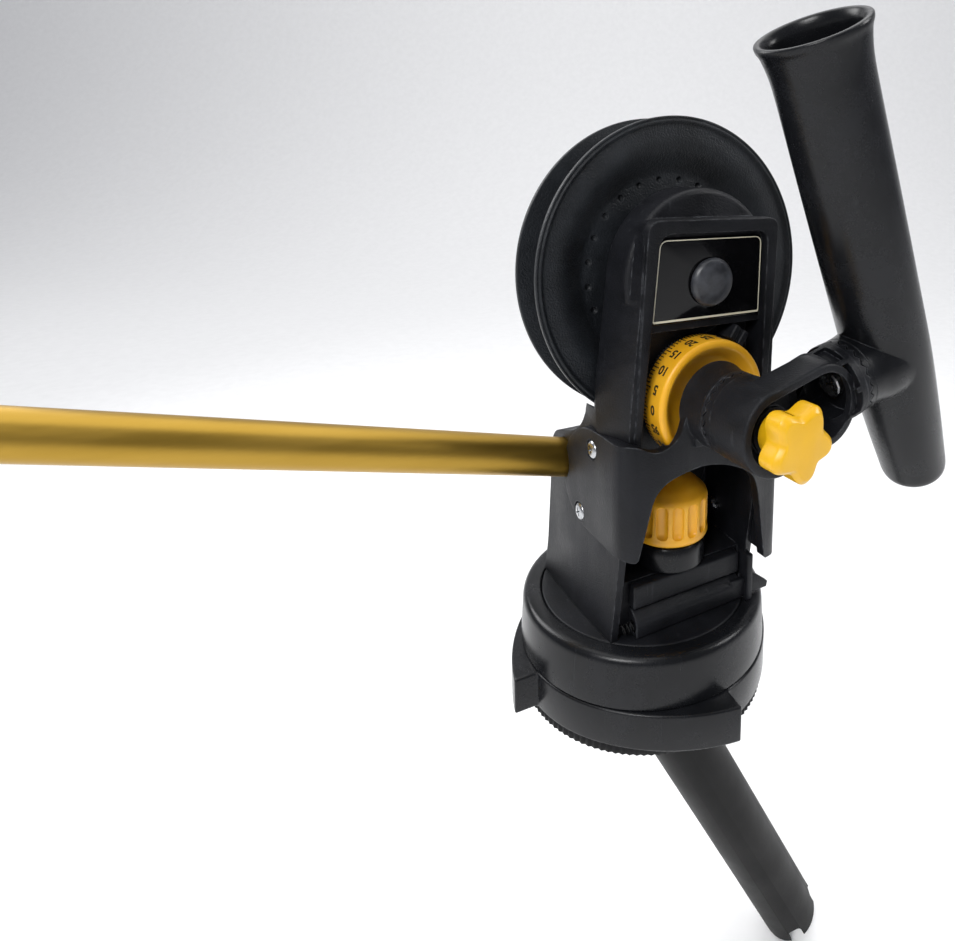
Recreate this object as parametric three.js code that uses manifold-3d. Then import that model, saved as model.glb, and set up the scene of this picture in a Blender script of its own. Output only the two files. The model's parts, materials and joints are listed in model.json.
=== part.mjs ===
// A manual downrigger on a slanted rod-holder stem, in millimetres with +Z up.
// The origin is where the stem's axis meets the swivel's axis, +X is to the right of the
// counter and -Y is the counter side. The boom points to -X.
import * as THREE from 'three';
import { mergeVertices } from 'three/addons/utils/BufferGeometryUtils.js';
import Module from 'manifold-3d';

const wasm = await Module();
wasm.setup();

// Clearances, and how finely round things are divided
const seat_gap = 0.3;
const running_gap = 0.8;
const overrun = 6;
const weld = 0.0005;
const large_round = 40;
const medium_round = 22;
const small_round = 12;
const tiny_round = 8;

// Stem, sized for a common rod holder
const stem_radius = 20;
const stem_wall = 2.6;
const stem_length = 280;
const stem_tilt = THREE.MathUtils.degToRad(28);
const notch_width = 10;
const notch_depth = 12;
const notch_turn = THREE.MathUtils.degToRad(67);
const spigot_length = 58;
const set_screw_drop = 46;
const set_screw_radius = 3;

// Base: index plate, lock ring and cap stand on one another
const index_low = 8;
const index_thickness = 5;
const index_radius = 70.5;
const index_tooth_count = 72;
const index_tooth_depth = 1.3;
const base_hub_radius = 46;
const lock_height = 20;
const lock_radius = 71.5;
const lobe_rise = 12.2;
const lobe_count = 4;
const lobe_tip = THREE.MathUtils.degToRad(6);
const lobe_ramp = THREE.MathUtils.degToRad(56);
const lobe_step = THREE.MathUtils.degToRad(1.5);
const cap_height = 27;
const cap_radius = 70.9;
const cap_step = 1.5;
const cap_shoulder = 8;
const cap_wall = 5;
const well_depth = 10;
const base_screw_count = 3;
const base_screw_circle = 37;
const base_screw_radius = 2.4;
const base_screw_head = 4.8;

// Swivel
const turntable_radius = 59.1;
const turntable_thickness = 6;
const slip_ring_bore = 36;
const slip_ring_radius = 56;
const pivot_radius = 6;
const pivot_head_radius = 9;
const pivot_head_height = 7;
const pivot_washer_radius = 14;
const pivot_washer_thickness = 2;
const pivot_insert_radius = 10;
const pivot_insert_depth = 18;
const foot_screw_count = 3;
const foot_screw_radius = 2;
const foot_screw_head = 4;
const foot_screw_length = 14;

// Housing: one moulding, its walls wider at the back
const body_depth = 100;
const body_height = 217;
const body_half_width = 46;
const foot_back = body_depth * 0.33;
const foot_side = body_depth * 0.12;
const body_wall = 4;
const front_half_width = 42.3;
const column_back = body_depth * 0.34;
const column_round = 14;
const pocket_floor = 28;
const pocket_roof = body_height * 0.456;
const pocket_back = 5;
const column_front = body_depth * 0.6;
const chamber_set = 14;
const chamber_depth = column_front - chamber_set;
const plate_set = 2.6;
const plate_floor = column_front - plate_set;
const bezel_width = 6.5;
const drum_radius = 43.5;
const drum_set = 6;
const drum_front = column_front - drum_set;
const drum_inset = 9;
const drum_back = column_back - drum_inset;
const drum_edge = 3;

// Spool
const spool_drop = 29.6;
const spool_height = body_height - spool_drop;
const spool_radius = 79.2;
const spool_width = 27;
const spool_front = column_back - running_gap;
const spool_back = spool_front - spool_width;
const spool_core = 53.6;
const spool_flange = 3.4;
const spool_lip = 2.6;
const spool_dish = 1.8;
const spool_edge = 0.7;
const spool_recess = 11;
const spool_web_front = spool_front - spool_recess;
const spool_web = 3.6;
const recess_radius = 50.6;
const spool_hub = 14;
const spool_hub_overhang = 4.2;
const spool_hub_back = spool_back - spool_hub_overhang;
const dimple_count = 24;
const dimple_circle = 47.4;
const dimple_radius = 1.5;
const spool_rib_count = 6;
const spool_rib_width = 2.6;
const cord_hole_radius = 1.6;
const axle_radius = 6;
const bush_wall = 2.4;
const bush_flange = 1.6;
const bush_length = 8;
const axle_tail = 32;
const axle_back = axle_tail - spool_hub_back;
const finger_reach = 30.7;
const finger_width = 2.4;
const finger_hub = 15;
const finger_rest = THREE.MathUtils.degToRad(105);
const counter_thickness = 2.6;

// Crank and drag
const crank_radius = 66;
const crank_thickness = 5;
const crank_hub = 15;
const crank_end = 8;
const crank_pin_radius = 3.5;
const grip_radius = 11;
const grip_length = 46;
const grip_waist = 1.6;
const grip_play = 1.5;
const drag_washer_radius = 13;
const drag_washer_thickness = 2.2;
const drag_knob_radius = 19;
const drag_knob_height = 15;
const drag_lobe_count = 5;
const drag_lobe_depth = 2.6;

// Depth dial
const dial_drop = 60.8;
const dial_height = spool_height - dial_drop;
const dial_radius = 31.3;
const dial_gap = 1.4;
const dial_depth = 18;
const dial_back = chamber_depth + dial_gap;
const dial_front = dial_back + dial_depth;
const dial_wall = 3.6;
const dial_rebate = 1.8;
const dial_hub = 9;
const dial_bore = 4;
const dial_screw_head = 7;
const dial_screw_set = 3.4;
const dial_screw_front = dial_front - dial_screw_set;
const wheel_tooth_count = 100;
const wheel_tooth_depth = 1.2;
const pointer_width = 10;
const pointer_height = 8;
const pointer_angle = THREE.MathUtils.degToRad(56);
const pointer_set = 6.4;
const pointer_front = dial_front - pointer_set;
const pointer_slot = 2.4;

// Name plate and axle cap
const plate_thickness = 1.3;
const plate_drop = 10;
const plate_length = 40;
const plate_top = body_height - plate_drop;
const plate_low = plate_top - plate_length;
const plate_half_top = 27.6;
const plate_half_low = 31;
const plate_corner = 6;
const button_radius = 11.8;
const button_rise = 4.2;
const button_stem = 4;

// Saddle bracket that carries the rod holder's elbow
const saddle_half_width = 49.4;
const saddle_wall = 3;
const saddle_reach = 11;
const saddle_front = column_front + saddle_reach;
const saddle_band = 4.6;
const saddle_height = dial_height;
const saddle_lower_right = 20;
const boss_radius = 19.8;
const boss_gap = 1;
const boss_depth = 17.6;
const boss_back = dial_front + boss_gap;
const boss_front = boss_back + boss_depth;
const crown_tooth_count = 24;
const crown_depth = 1.2;
const crown_bore = 9;
const clamp_radius = 4;
const clamp_head = 7.6;
const clamp_head_depth = 5;
const cheek_screw_radius = 2;
const cheek_screw_head = 4.6;
const cheek_screw_rise = 2;
const cheek_bore_depth = 1.2;
const cheek_upper_y = -body_depth * 0.267;
const cheek_upper_z = saddle_height * 0.792;
const cheek_lower_y = -body_depth * 0.128;
const cheek_lower_z = saddle_height * 0.485;
const cheek_nut_radius = 4.6;
const cheek_nut_thickness = 3.2;

// Elbow
const elbow_rest = THREE.MathUtils.degToRad(15);
const elbow_radius = 20;
const elbow_span = 28.7;
const elbow_depth = 28;
const elbow_wall = 3.8;
const elbow_floor = 6;
const elbow_boss = 11.5;
const elbow_boss_front = 22;
const neck_depth = 14;
const neck_collar_radius = 18.6;
const neck_collar_back = 40;
const neck_joint = 54;
const neck_disc = 5;
const window_width = 9;
const window_length = 5.6;
const window_count = 6;
const catch_hole = 6.4;
const elbow_washer_thickness = 1.6;

// Star knob
const star_lobes = 6;
const star_tip_radius = 17.6;
const star_valley_radius = 13;
const star_back = 33;
const star_front = 44;
const star_bevel = 2;
const star_shank = 9;
const star_turn = THREE.MathUtils.degToRad(18);

// Rod holder
const holder_reach = 87;
const holder_lean = THREE.MathUtils.degToRad(13.1);
const holder_nod = THREE.MathUtils.degToRad(6.2);
const holder_radius = 21.3;
const holder_wall = 2.6;
const holder_above = 167.5;
const holder_below = 87.5;
const holder_lip = 2.9;
const holder_floor = 7;
const holder_foot_radius = 16.4;
const holder_drain = 3;
const holder_neck_radius = 17.4;
const holder_neck_end = 72;
const neck_bolt_radius = 4;
const neck_bolt_head = 6.6;
const neck_bolt_head_height = 4;
const neck_nut_radius = 7.4;
const neck_nut_height = 5;

// Swivel lock in the pocket
const knob_gap = 0.6;
const knob_low = body_height * 0.203;
const knob_top = body_height * 0.341;
const knob_rim_radius = 20.4;
const lock_y = -pocket_back - knob_gap - knob_rim_radius;
const foot_room = 12;
const foot_front = foot_room - lock_y;
const knob_radius = 19;
const knob_rim = 1.8;
const flute_count = 18;
const flute_radius = 1.9;
const knob_shoulder = 7;
const flute_low = knob_low + knob_shoulder;
const flute_high = knob_top - knob_shoulder;
const lock_stud_radius = 5;
const collar_radius = 18;
const collar_gap = 3.4;
const collar_top = knob_low - collar_gap;
const collar_step = 1.4;
const knob_bore_depth = 16;

// Release latch under its guide
const latch_half = 31;
const latch_right = 36;
const latch_depth = 8.6;
const latch_front = foot_front + latch_depth;
const latch_low = 0.8;
const latch_top = 11;
const latch_chamfer = 2.6;
const latch_travel = 6;
const tab_tip = 58;
const tab_thickness = 3.4;
const tab_back = latch_front - tab_thickness;
const tab_point = 5;
const tongue_half = 14;
const tongue_low = 4;
const tongue_high = 8;
const tongue_depth = 2.6;
const guide_left = 30;
const guide_low = 13;
const guide_high = 26.4;
const guide_depth = 7.6;
const guide_front = foot_front + guide_depth;
const spring_radius = 2.4;
const spring_wire = 0.35;
const spring_turns = 6;
const spring_bore_depth = 8;

// Boom
const boom_x = -43;
const boom_y = body_depth * 0.08;
const boom_z = body_height * 0.372;
const boom_tilt = THREE.MathUtils.degToRad(14.3);
const boom_radius = 10.5;
const boom_wall = 1.6;
const boom_inner_end = 78;
const boom_reach = 560;
const boom_socket_wall = 4;
const boom_socket_left = 22;
const clamp_screw_place = 34;
const clamp_screw_radius = 2.4;
const clamp_screw_head = 5;
const clamp_screw_rise = 3;
const clamp_screw_length = 24;
const head_collar = 14;
const head_collar_radius = 13;
const head_plug = 22;
const head_fork = 34;
const head_cheek = 3.4;
const head_slot = 10;
const pulley_radius = 16;
const pulley_groove = 4;
const pulley_pin_radius = 3;
const pulley_pin_head = 5;

// Looks, one for each material
const looks = {
  nylon: { color: 0x26272b, roughness: 0.55, metalness: 0 },
  gloss: { color: 0x0c0c0e, roughness: 0.15, metalness: 0 },
  amber: { color: 0xf0a81c, roughness: 0.38, metalness: 0 },
  lemon: { color: 0xf6cd1f, roughness: 0.35, metalness: 0 },
  gold: { color: 0xb98d1c, roughness: 0.28, metalness: 1 },
  steel: { color: 0xb9bcc0, roughness: 0.3, metalness: 1 },
  alloy: { color: 0x1b1b1d, roughness: 0.45, metalness: 0.6 },
  button: { color: 0x55585d, roughness: 0.35, metalness: 0.2 },
  brass: { color: 0xb08d4a, roughness: 0.35, metalness: 1 },
};

// Directions that an outline or a turned profile can face
const upward = new THREE.Matrix4();
const forward = new THREE.Matrix4().makeRotationX(Math.PI / 2);
const sideways = new THREE.Matrix4().makeBasis(
  new THREE.Vector3(0, 1, 0), new THREE.Vector3(0, 0, 1), new THREE.Vector3(1, 0, 0));

// A closed solid for the boolean library, from any closed geometry
function toSolid(geometry) {
  const bare = geometry.clone();
  bare.deleteAttribute('normal');
  bare.deleteAttribute('uv');
  const merged = mergeVertices(bare, weld);
  const spots = merged.attributes.position.array;
  const index = merged.index.array;
  const corners = [];
  let volume = 0;
  const [a, b, c] = [new THREE.Vector3(), new THREE.Vector3(), new THREE.Vector3()];
  for (let i = 0; i < index.length; i += 3) {
    const [p, q, r] = index.slice(i, i + 3);
    if (p === q || q === r || r === p) continue;
    corners.push(p, q, r);
    a.fromArray(spots, p * 3);
    b.fromArray(spots, q * 3);
    c.fromArray(spots, r * 3);
    volume += a.dot(b.cross(c));
  }
  if (volume < 0) corners.reverse();
  const mesh = new wasm.Mesh({
    numProp: 3, vertProperties: new Float32Array(spots), triVerts: new Uint32Array(corners),
  });
  return new wasm.Manifold(mesh);
}

function toGeometry(solid) {
  const mesh = solid.getMesh();
  const geometry = new THREE.BufferGeometry();
  geometry.setAttribute('position', new THREE.BufferAttribute(mesh.vertProperties, 3));
  geometry.setIndex(new THREE.BufferAttribute(mesh.triVerts, 1));
  return geometry;
}

function combine(first, others, step) {
  return toGeometry(others.reduce((sum, other) => step(sum, toSolid(other)), toSolid(first)));
}

const join = (first, ...others) => combine(first, others, (sum, next) => sum.add(next));
const cut = (first, ...others) => combine(first, others, (sum, next) => sum.subtract(next));
const meet = (first, ...others) => combine(first, others, (sum, next) => sum.intersect(next));

// Basic shapes
function turned(profile, steps, facing = upward) {
  const points = profile.map(([radius, height]) => new THREE.Vector2(radius, height));
  points.push(points[0].clone());
  const geometry = new THREE.LatheGeometry(points, steps);
  return geometry.rotateX(Math.PI / 2).applyMatrix4(facing);
}

function rod(radius, low, high, steps = small_round, facing = upward, edge = 0) {
  const ends = [[radius - edge, low], [radius, low + edge], [radius, high - edge], [radius - edge, high]];
  const side = edge > 0 ? ends : [[radius, low], [radius, high]];
  return turned([[0, low], ...side, [0, high]], steps, facing);
}

function ring(bore, radius, low, high, steps = small_round, facing = upward) {
  return turned([[bore, low], [radius, low], [radius, high], [bore, high]], steps, facing);
}

function prism(shape, low, high, facing = upward, steps = 6) {
  const geometry = new THREE.ExtrudeGeometry(shape, {
    depth: high - low, bevelEnabled: false, curveSegments: steps,
  });
  return geometry.translate(0, 0, low).applyMatrix4(facing);
}

function block(left, right, front, back, low, high) {
  const geometry = new THREE.BoxGeometry(right - left, back - front, high - low);
  return geometry.translate((left + right) / 2, (front + back) / 2, (low + high) / 2);
}

function outline(points) {
  return new THREE.Shape(points.map(([x, y]) => new THREE.Vector2(x, y)));
}

// An outline whose corners are rounded, each by its own radius or by one for all
function softOutline(points, radius) {
  const shape = new THREE.Shape();
  const spots = points.map(([x, y]) => new THREE.Vector2(x, y));
  spots.forEach((corner, i) => {
    const before = spots[(i + spots.length - 1) % spots.length];
    const after = spots[(i + 1) % spots.length];
    const wanted = Array.isArray(radius) ? radius[i] : radius;
    const reach = Math.min(wanted, corner.distanceTo(before) / 2, corner.distanceTo(after) / 2);
    const start = corner.clone().add(before.clone().sub(corner).setLength(reach));
    const end = corner.clone().add(after.clone().sub(corner).setLength(reach));
    if (i === 0) shape.moveTo(start.x, start.y);
    else shape.lineTo(start.x, start.y);
    if (reach > 0) shape.quadraticCurveTo(corner.x, corner.y, end.x, end.y);
  });
  shape.closePath();
  return shape;
}

function slot(length, radius) {
  const shape = new THREE.Shape();
  shape.absarc(0, 0, radius, Math.PI / 2, Math.PI * 1.5);
  shape.absarc(length, 0, radius, -Math.PI / 2, Math.PI / 2);
  return shape;
}

function hexagon(radius) {
  return polar(6, () => radius);
}

// A closed outline whose radius is a function of the share of a turn
function polar(count, radiusAt, start = 0) {
  const points = [];
  for (let i = 0; i < count; i += 1) {
    const angle = start + (i / count) * 2 * Math.PI;
    const radius = radiusAt(i / count);
    points.push([radius * Math.cos(angle), radius * Math.sin(angle)]);
  }
  return outline(points);
}

const mirrored = (half) => [...half, ...half.map(([x, y]) => [-x, y]).reverse()];
const scaled = (shares, wide, tall) => shares.map(([x, y]) => [x * wide, y * tall]);

// A ring whose face at "crest" is a crown of radial teeth and whose other face is flat
function crown(bore, radius, flat, crest, facing = upward) {
  const steps = crown_tooth_count * 2;
  const spots = [];
  const faces = [];
  for (let i = 0; i < steps; i += 1) {
    const angle = (i / steps) * 2 * Math.PI;
    const tooth = crest + (i % 2 === 0 ? crown_depth : -crown_depth) / 2;
    for (const [reach, height] of [[bore, flat], [radius, flat], [radius, tooth], [bore, tooth]]) {
      spots.push(reach * Math.cos(angle), reach * Math.sin(angle), height);
    }
    const here = i * 4;
    const there = ((i + 1) % steps) * 4;
    for (let side = 0; side < 4; side += 1) {
      const next = (side + 1) % 4;
      faces.push(here + side, here + next, there + next, here + side, there + next, there + side);
    }
  }
  const geometry = new THREE.BufferGeometry();
  geometry.setAttribute('position', new THREE.Float32BufferAttribute(spots, 3));
  geometry.setIndex(faces);
  return geometry.applyMatrix4(facing);
}

// A screw with its head at height zero and its shank below
function screw(radius, length, headRadius, headHeight, facing = upward) {
  const profile = [
    [0, -length], [radius, -length], [radius, 0], [headRadius, 0],
    [headRadius, headHeight * 0.5], [headRadius * 0.7, headHeight], [0, headHeight],
  ];
  return turned(profile, tiny_round, facing);
}

const downrigger = new THREE.Group();

function group(parent, x = 0, y = 0, z = 0) {
  const made = new THREE.Group();
  made.position.set(x, y, z);
  parent.add(made);
  return made;
}

function piece(parent, name, geometry, look) {
  const shape = toGeometry(toSolid(geometry));
  shape.computeVertexNormals();
  const mesh = new THREE.Mesh(shape, new THREE.MeshStandardMaterial(looks[look]));
  mesh.name = name;
  parent.add(mesh);
  return mesh;
}

// Heights of the base's stack, and the deck that the housing stands on
const index_top = index_low + index_thickness;
const lock_top = index_top + lock_height;
const deck = lock_top + cap_height;
const well_floor = deck - well_depth;
const pivot_bore = pivot_radius + seat_gap;

// Stem: a tube cut level at its top, with two cross slots at its foot
function stemTube() {
  const bore = stem_radius - stem_wall;
  const tube = ring(bore, stem_radius, -stem_length, stem_radius, medium_round);
  const notch = softOutline([
    [-notch_width / 2, -stem_length - overrun], [notch_width / 2, -stem_length - overrun],
    [notch_width / 2, -stem_length + notch_depth], [-notch_width / 2, -stem_length + notch_depth],
  ], [0, 0, notch_width / 2, notch_width / 2]);
  const across = stem_radius + overrun;
  const slots = [
    prism(notch, -across, across, forward),
    prism(notch, -across, across, sideways),
  ].map((geometry) => geometry.rotateZ(notch_turn));
  const hole = rod(set_screw_radius + seat_gap, 0, across, tiny_round, sideways);
  hole.rotateZ(Math.PI).translate(0, 0, -set_screw_drop);
  const leaning = cut(tube, ...slots, hole).rotateY(-stem_tilt);
  const wide = stem_length;
  return cut(leaning, block(-wide, wide, -wide, wide, index_low - seat_gap, wide));
}

function stemSetScrew() {
  const hollow = polar(6, () => set_screw_radius * 0.5);
  const grub = rod(set_screw_radius, stem_radius - stem_wall * 2, stem_radius, tiny_round, sideways);
  const key = prism(hollow, stem_radius - stem_wall, stem_radius + overrun, sideways);
  return cut(grub, key).rotateZ(Math.PI).translate(0, 0, -set_screw_drop).rotateY(-stem_tilt);
}

// Index plate: toothed rim, hub for the lock ring, and a slanted spigot inside the stem
function indexPlate() {
  const steps = index_tooth_count * 2;
  const teeth = polar(steps, (share) => (
    Math.round(share * steps) % 2 === 0 ? index_radius : index_radius - index_tooth_depth));
  const plate = prism(teeth, index_low, index_top);
  const hub = rod(base_hub_radius, index_low, lock_top - seat_gap, large_round);
  const spigot_radius = stem_radius - stem_wall - seat_gap;
  const spigot = rod(spigot_radius, -spigot_length, stem_radius, medium_round).rotateY(-stem_tilt);
  const level = block(-stem_length, stem_length, -stem_length, stem_length, index_top, stem_length);
  const pin = rod(set_screw_radius + seat_gap, 0, stem_radius, tiny_round, sideways);
  pin.rotateZ(Math.PI).translate(0, 0, -set_screw_drop).rotateY(-stem_tilt);
  const seat_low = lock_top - seat_gap - pivot_insert_depth;
  const seat = rod(pivot_insert_radius + seat_gap, seat_low, lock_top + overrun, small_round);
  const holes = baseScrewPlaces().flatMap(([x, y]) => [
    rod(base_screw_radius + seat_gap, index_low - overrun, lock_top + overrun, tiny_round),
    rod(base_screw_head + seat_gap, index_low - overrun, index_top, tiny_round),
  ].map((hole) => hole.translate(x, y, 0)));
  return cut(join(plate, hub, cut(spigot, level)), pin, seat, ...holes);
}

function baseScrewPlaces() {
  return Array.from({ length: base_screw_count }, (_, i) => {
    const angle = Math.PI / 2 + (i / base_screw_count) * 2 * Math.PI;
    return [base_screw_circle * Math.cos(angle), base_screw_circle * Math.sin(angle)];
  });
}

function baseScrew() {
  const length = cap_height / 2 + lock_height;
  const body = screw(base_screw_radius, length, base_screw_head, index_thickness - seat_gap * 2);
  return body.rotateX(Math.PI).translate(0, 0, index_top);
}

// Lock ring: four saw-tooth lobes that rise slowly and drop at once
function lockRing() {
  const steps = 14;
  const points = [];
  const pitch = (2 * Math.PI) / lobe_count;
  for (let lobe = 0; lobe < lobe_count; lobe += 1) {
    const tip = lobe_tip + lobe * pitch;
    for (let i = 0; i <= 5; i += 1) {
      const angle = tip - pitch + lobe_step + (i / 5) * (pitch - lobe_ramp - lobe_step);
      points.push([lock_radius * Math.cos(angle), lock_radius * Math.sin(angle)]);
    }
    for (let i = 1; i <= steps; i += 1) {
      const share = i / steps;
      const angle = tip - lobe_ramp * (1 - share);
      const radius = lock_radius + lobe_rise * share * share;
      points.push([radius * Math.cos(angle), radius * Math.sin(angle)]);
    }
  }
  const body = prism(outline(points), index_top + seat_gap, lock_top - seat_gap);
  const bore = rod(base_hub_radius + seat_gap * 2, index_low, lock_top + overrun, large_round);
  return cut(body, bore);
}

// Cap: rounded shoulder, a step round its side and a well for the turntable
function baseCap() {
  const rim = turntable_radius + seat_gap;
  const side = cap_radius - cap_step;
  const step_height = deck - cap_shoulder;
  const shoulder = [];
  for (let i = 0; i <= 5; i += 1) {
    const angle = (i / 5) * (Math.PI / 2);
    const run = side - rim - cap_wall / 2;
    shoulder.push([side - run + run * Math.cos(angle), step_height + cap_shoulder * Math.sin(angle)]);
  }
  const low = lock_top + seat_gap;
  const hollow_top = well_floor - cap_wall;
  const profile = [
    [pivot_bore, low], [base_hub_radius, low], [base_hub_radius + cap_wall / 2, hollow_top],
    [cap_radius - cap_wall, hollow_top], [cap_radius - cap_wall, low], [cap_radius, low],
    [cap_radius, step_height - cap_step], [side, step_height - cap_step / 2], ...shoulder,
    [rim, deck], [rim, well_floor], [pivot_bore, well_floor],
  ];
  const holes = baseScrewPlaces().map(([x, y]) => {
    const top = index_top + cap_height / 2 + lock_height + seat_gap;
    return rod(base_screw_radius + seat_gap, index_low, top, tiny_round).translate(x, y, 0);
  });
  return cut(turned(profile, large_round), ...holes);
}

const slip_ring_low = well_floor + seat_gap;
const turntable_low = deck - turntable_thickness;

function slipRing() {
  return ring(slip_ring_bore, slip_ring_radius, slip_ring_low, turntable_low - seat_gap, medium_round);
}

const insert_low = lock_top - pivot_insert_depth;

function pivotInsert() {
  return ring(pivot_bore, pivot_insert_radius, insert_low, lock_top - seat_gap, small_round);
}

const pivot_seat = deck + seat_gap + pivot_washer_thickness + seat_gap;

function pivotBolt() {
  const head = prism(hexagon(pivot_head_radius), pivot_seat, pivot_seat + pivot_head_height);
  const shank = rod(pivot_radius, insert_low + seat_gap, pivot_seat + pivot_head_height / 2);
  return join(head, shank);
}

function pivotWasher() {
  const low = deck + seat_gap;
  return ring(pivot_bore, pivot_washer_radius, low, low + pivot_washer_thickness);
}

// The housing's own frame: height zero is the deck
function footScrewPlaces() {
  return Array.from({ length: foot_screw_count }, (_, i) => {
    const side = i - (foot_screw_count - 1) / 2;
    const wall = body_half_width - body_wall - foot_screw_head * 0.7;
    return [side * wall, side === 0 ? foot_back : foot_side];
  });
}

function turntable() {
  const disc = ring(pivot_bore, turntable_radius, -turntable_thickness, -seat_gap, large_round);
  const stud = rod(lock_stud_radius + seat_gap, -deck, overrun, small_round).translate(0, lock_y, 0);
  const holes = footScrewPlaces().flatMap(([x, y]) => [
    rod(foot_screw_radius + seat_gap, -deck, overrun, tiny_round),
    rod(foot_screw_head + seat_gap, -deck, -turntable_thickness / 2, tiny_round),
  ].map((hole) => hole.translate(x, y, 0)));
  return cut(disc, stud, ...holes);
}

function footScrew() {
  const body = screw(foot_screw_radius, foot_screw_length, foot_screw_head, turntable_thickness / 3);
  return body.rotateX(Math.PI).translate(0, 0, -turntable_thickness / 2 - seat_gap);
}

// Side view of the housing as shares of its depth and height: front foot first
const body_side_shares = [
  [-0.41, 0], [0.38, 0], [0.33, 0.092], [0.25, 0.405], [0.2, 0.43], [0.11, 0.442], [-0.1, 0.475],
  [-0.19, 0.56], [-0.34, 0.622], [-0.34, 1], [-0.6, 1], [-0.59, 0.516], [-0.55, 0.415], [-0.49, 0.23],
];
// Front view, right half, as shares of the half width and the height
const body_front_shares = [[1, 0], [1, 0.5], [0.93, 0.63], [0.855, 0.8], [0.8, 0.92], [0.77, 1]];
// Opening behind the bezel, right half, as shares of the half width and the height
const channel_shares = [[0.83, 0.4], [0.83, 0.57], [0.745, 0.76], [0.6, 0.963]];

function bodyPlan(inset) {
  return outline([
    [-body_half_width + inset, body_depth], [-body_half_width + inset, -body_depth * 0.1],
    [-front_half_width + inset, -column_front], [-front_half_width + inset, -body_depth],
    [front_half_width - inset, -body_depth], [front_half_width - inset, -column_front],
    [body_half_width - inset, -body_depth * 0.1], [body_half_width - inset, body_depth],
  ]);
}

// The housing's outer form, grown forward and sideways for what fits round it
function bodyForm(grow) {
  const side = prism(outline(scaled(body_side_shares, body_depth, body_height)),
    -body_half_width - overrun, body_half_width + overrun, sideways).translate(0, -grow, 0);
  const half = scaled(body_front_shares, body_half_width, body_height);
  const rounds = half.map((_, i) => (i === half.length - 1 ? column_round : 0));
  const front = prism(softOutline(mirrored(half), [...rounds, ...[...rounds].reverse()]),
    -body_depth, body_depth, forward);
  const plan = prism(bodyPlan(-grow), -overrun, body_height + overrun);
  return meet(side, front, plan);
}

function bodyShell() {
  const edge = drum_edge;
  const drum = turned([
    [0, drum_back], [drum_radius - edge / 3, drum_back], [drum_radius, drum_back + edge / 3],
    [drum_radius, drum_front - edge], [drum_radius - edge * 0.3, drum_front - edge * 0.3],
    [drum_radius - edge, drum_front], [0, drum_front],
  ], large_round, forward).translate(0, 0, spool_height);
  return join(bodyForm(0), drum);
}

// The spool's flanges turn in a trough across the housing's top
function spoolTrough() {
  const radius = spool_radius + running_gap * 2.5;
  return rod(radius, -body_depth, column_back + seat_gap, large_round, forward).translate(0, 0, spool_height);
}

function housing() {
  const inner = prism(bodyPlan(body_wall), -overrun, body_height + overrun);
  const half = scaled(channel_shares, body_half_width, body_height);
  const channel = softOutline(mirrored(half), bezel_width);
  const deep = plate_low - body_wall;
  const chamber = meet(prism(channel, chamber_depth, body_depth, forward),
    block(-body_depth, body_depth, -body_depth, body_depth, pocket_floor, deep));
  const shallow = prism(channel, plate_floor, body_depth, forward);
  const pocket = meet(inner, block(-body_depth, body_depth, -body_depth, -pocket_back,
    pocket_floor, pocket_roof));
  const foot = meet(inner, block(-body_depth, body_depth, -body_depth, -foot_front, -overrun, pocket_floor
    + seat_gap));
  const under_front = -foot_front + body_wall;
  const back_share = 0.29;
  const under = meet(inner, block(-body_depth, body_depth, under_front, body_depth * back_share,
    -overrun, pocket_floor - body_wall));
  const rear_shares = [[-0.01, 0.05], [0.285, 0.05], [0.282, 0.092], [0.21, 0.385], [0.1, 0.405],
    [-0.01, 0.43]];
  const rear = meet(inner, prism(outline(scaled(rear_shares, body_depth, body_height)),
    -body_depth, body_depth, sideways));
  const socket_end = body_half_width - body_wall / 2;
  const socket = meet(inner, boomRod(boom_radius + seat_gap + boom_socket_wall, 1),
    block(boom_socket_left, socket_end, -body_depth, body_depth, 0, body_height));
  const finger_room = rod(finger_reach + running_gap, chamber_depth - seat_gap,
    chamber_depth + counter_thickness + running_gap, medium_round, forward);
  const sleeve_room = rod(axle_radius + bush_wall + running_gap * 2, 0, chamber_depth, small_round, forward);
  const axle_hole = rod(axle_radius + seat_gap, chamber_depth, plate_floor - body_wall / 2,
    small_round, forward);
  const button_hole = rod(button_stem + seat_gap, chamber_depth, body_depth, small_round, forward);
  const spool_cuts = [finger_room, sleeve_room, axle_hole, button_hole];
  spool_cuts.forEach((geometry) => geometry.translate(0, 0, spool_height));
  const dial_hole = rod(dial_bore + seat_gap, column_back, body_depth, small_round, forward);
  dial_hole.translate(0, 0, dial_height);
  const stud_hole = rod(lock_stud_radius + seat_gap, -overrun, collar_top, small_round);
  stud_hole.translate(0, lock_y, 0);
  const tongue = block(-tongue_half - latch_travel - running_gap, tongue_half + running_gap,
    -body_depth, under_front + overrun, tongue_low - seat_gap, tongue_high + seat_gap);
  const tab_room = block(tongue_half, body_depth, -body_depth, -tab_back + seat_gap, latch_low, latch_top + seat_gap);
  const clamp_hole = rod(clamp_screw_radius + seat_gap, 0, body_depth, tiny_round, forward);
  clamp_hole.rotateZ(Math.PI).applyMatrix4(clampScrewPlace());
  const posts = footScrewPlaces().map(([x, y]) => (
    rod(foot_screw_head + running_gap, 0, pocket_floor - overrun / 2, tiny_round).translate(x, y, 0)));
  const post_holes = footScrewPlaces().map(([x, y]) => (
    rod(foot_screw_radius + seat_gap, -overrun, foot_screw_length, tiny_round).translate(x, y, 0)));
  const hollow = cut(bodyShell(), spoolTrough(), chamber, shallow, pocket, foot, under, rear);
  const fitted = join(hollow, socket, ...posts);
  return cut(fitted, boomRod(boom_radius + seat_gap, 0), ...spool_cuts, dial_hole, stud_hole, tongue,
    tab_room, clamp_hole, ...post_holes, ...cheekHoles());
}

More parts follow.
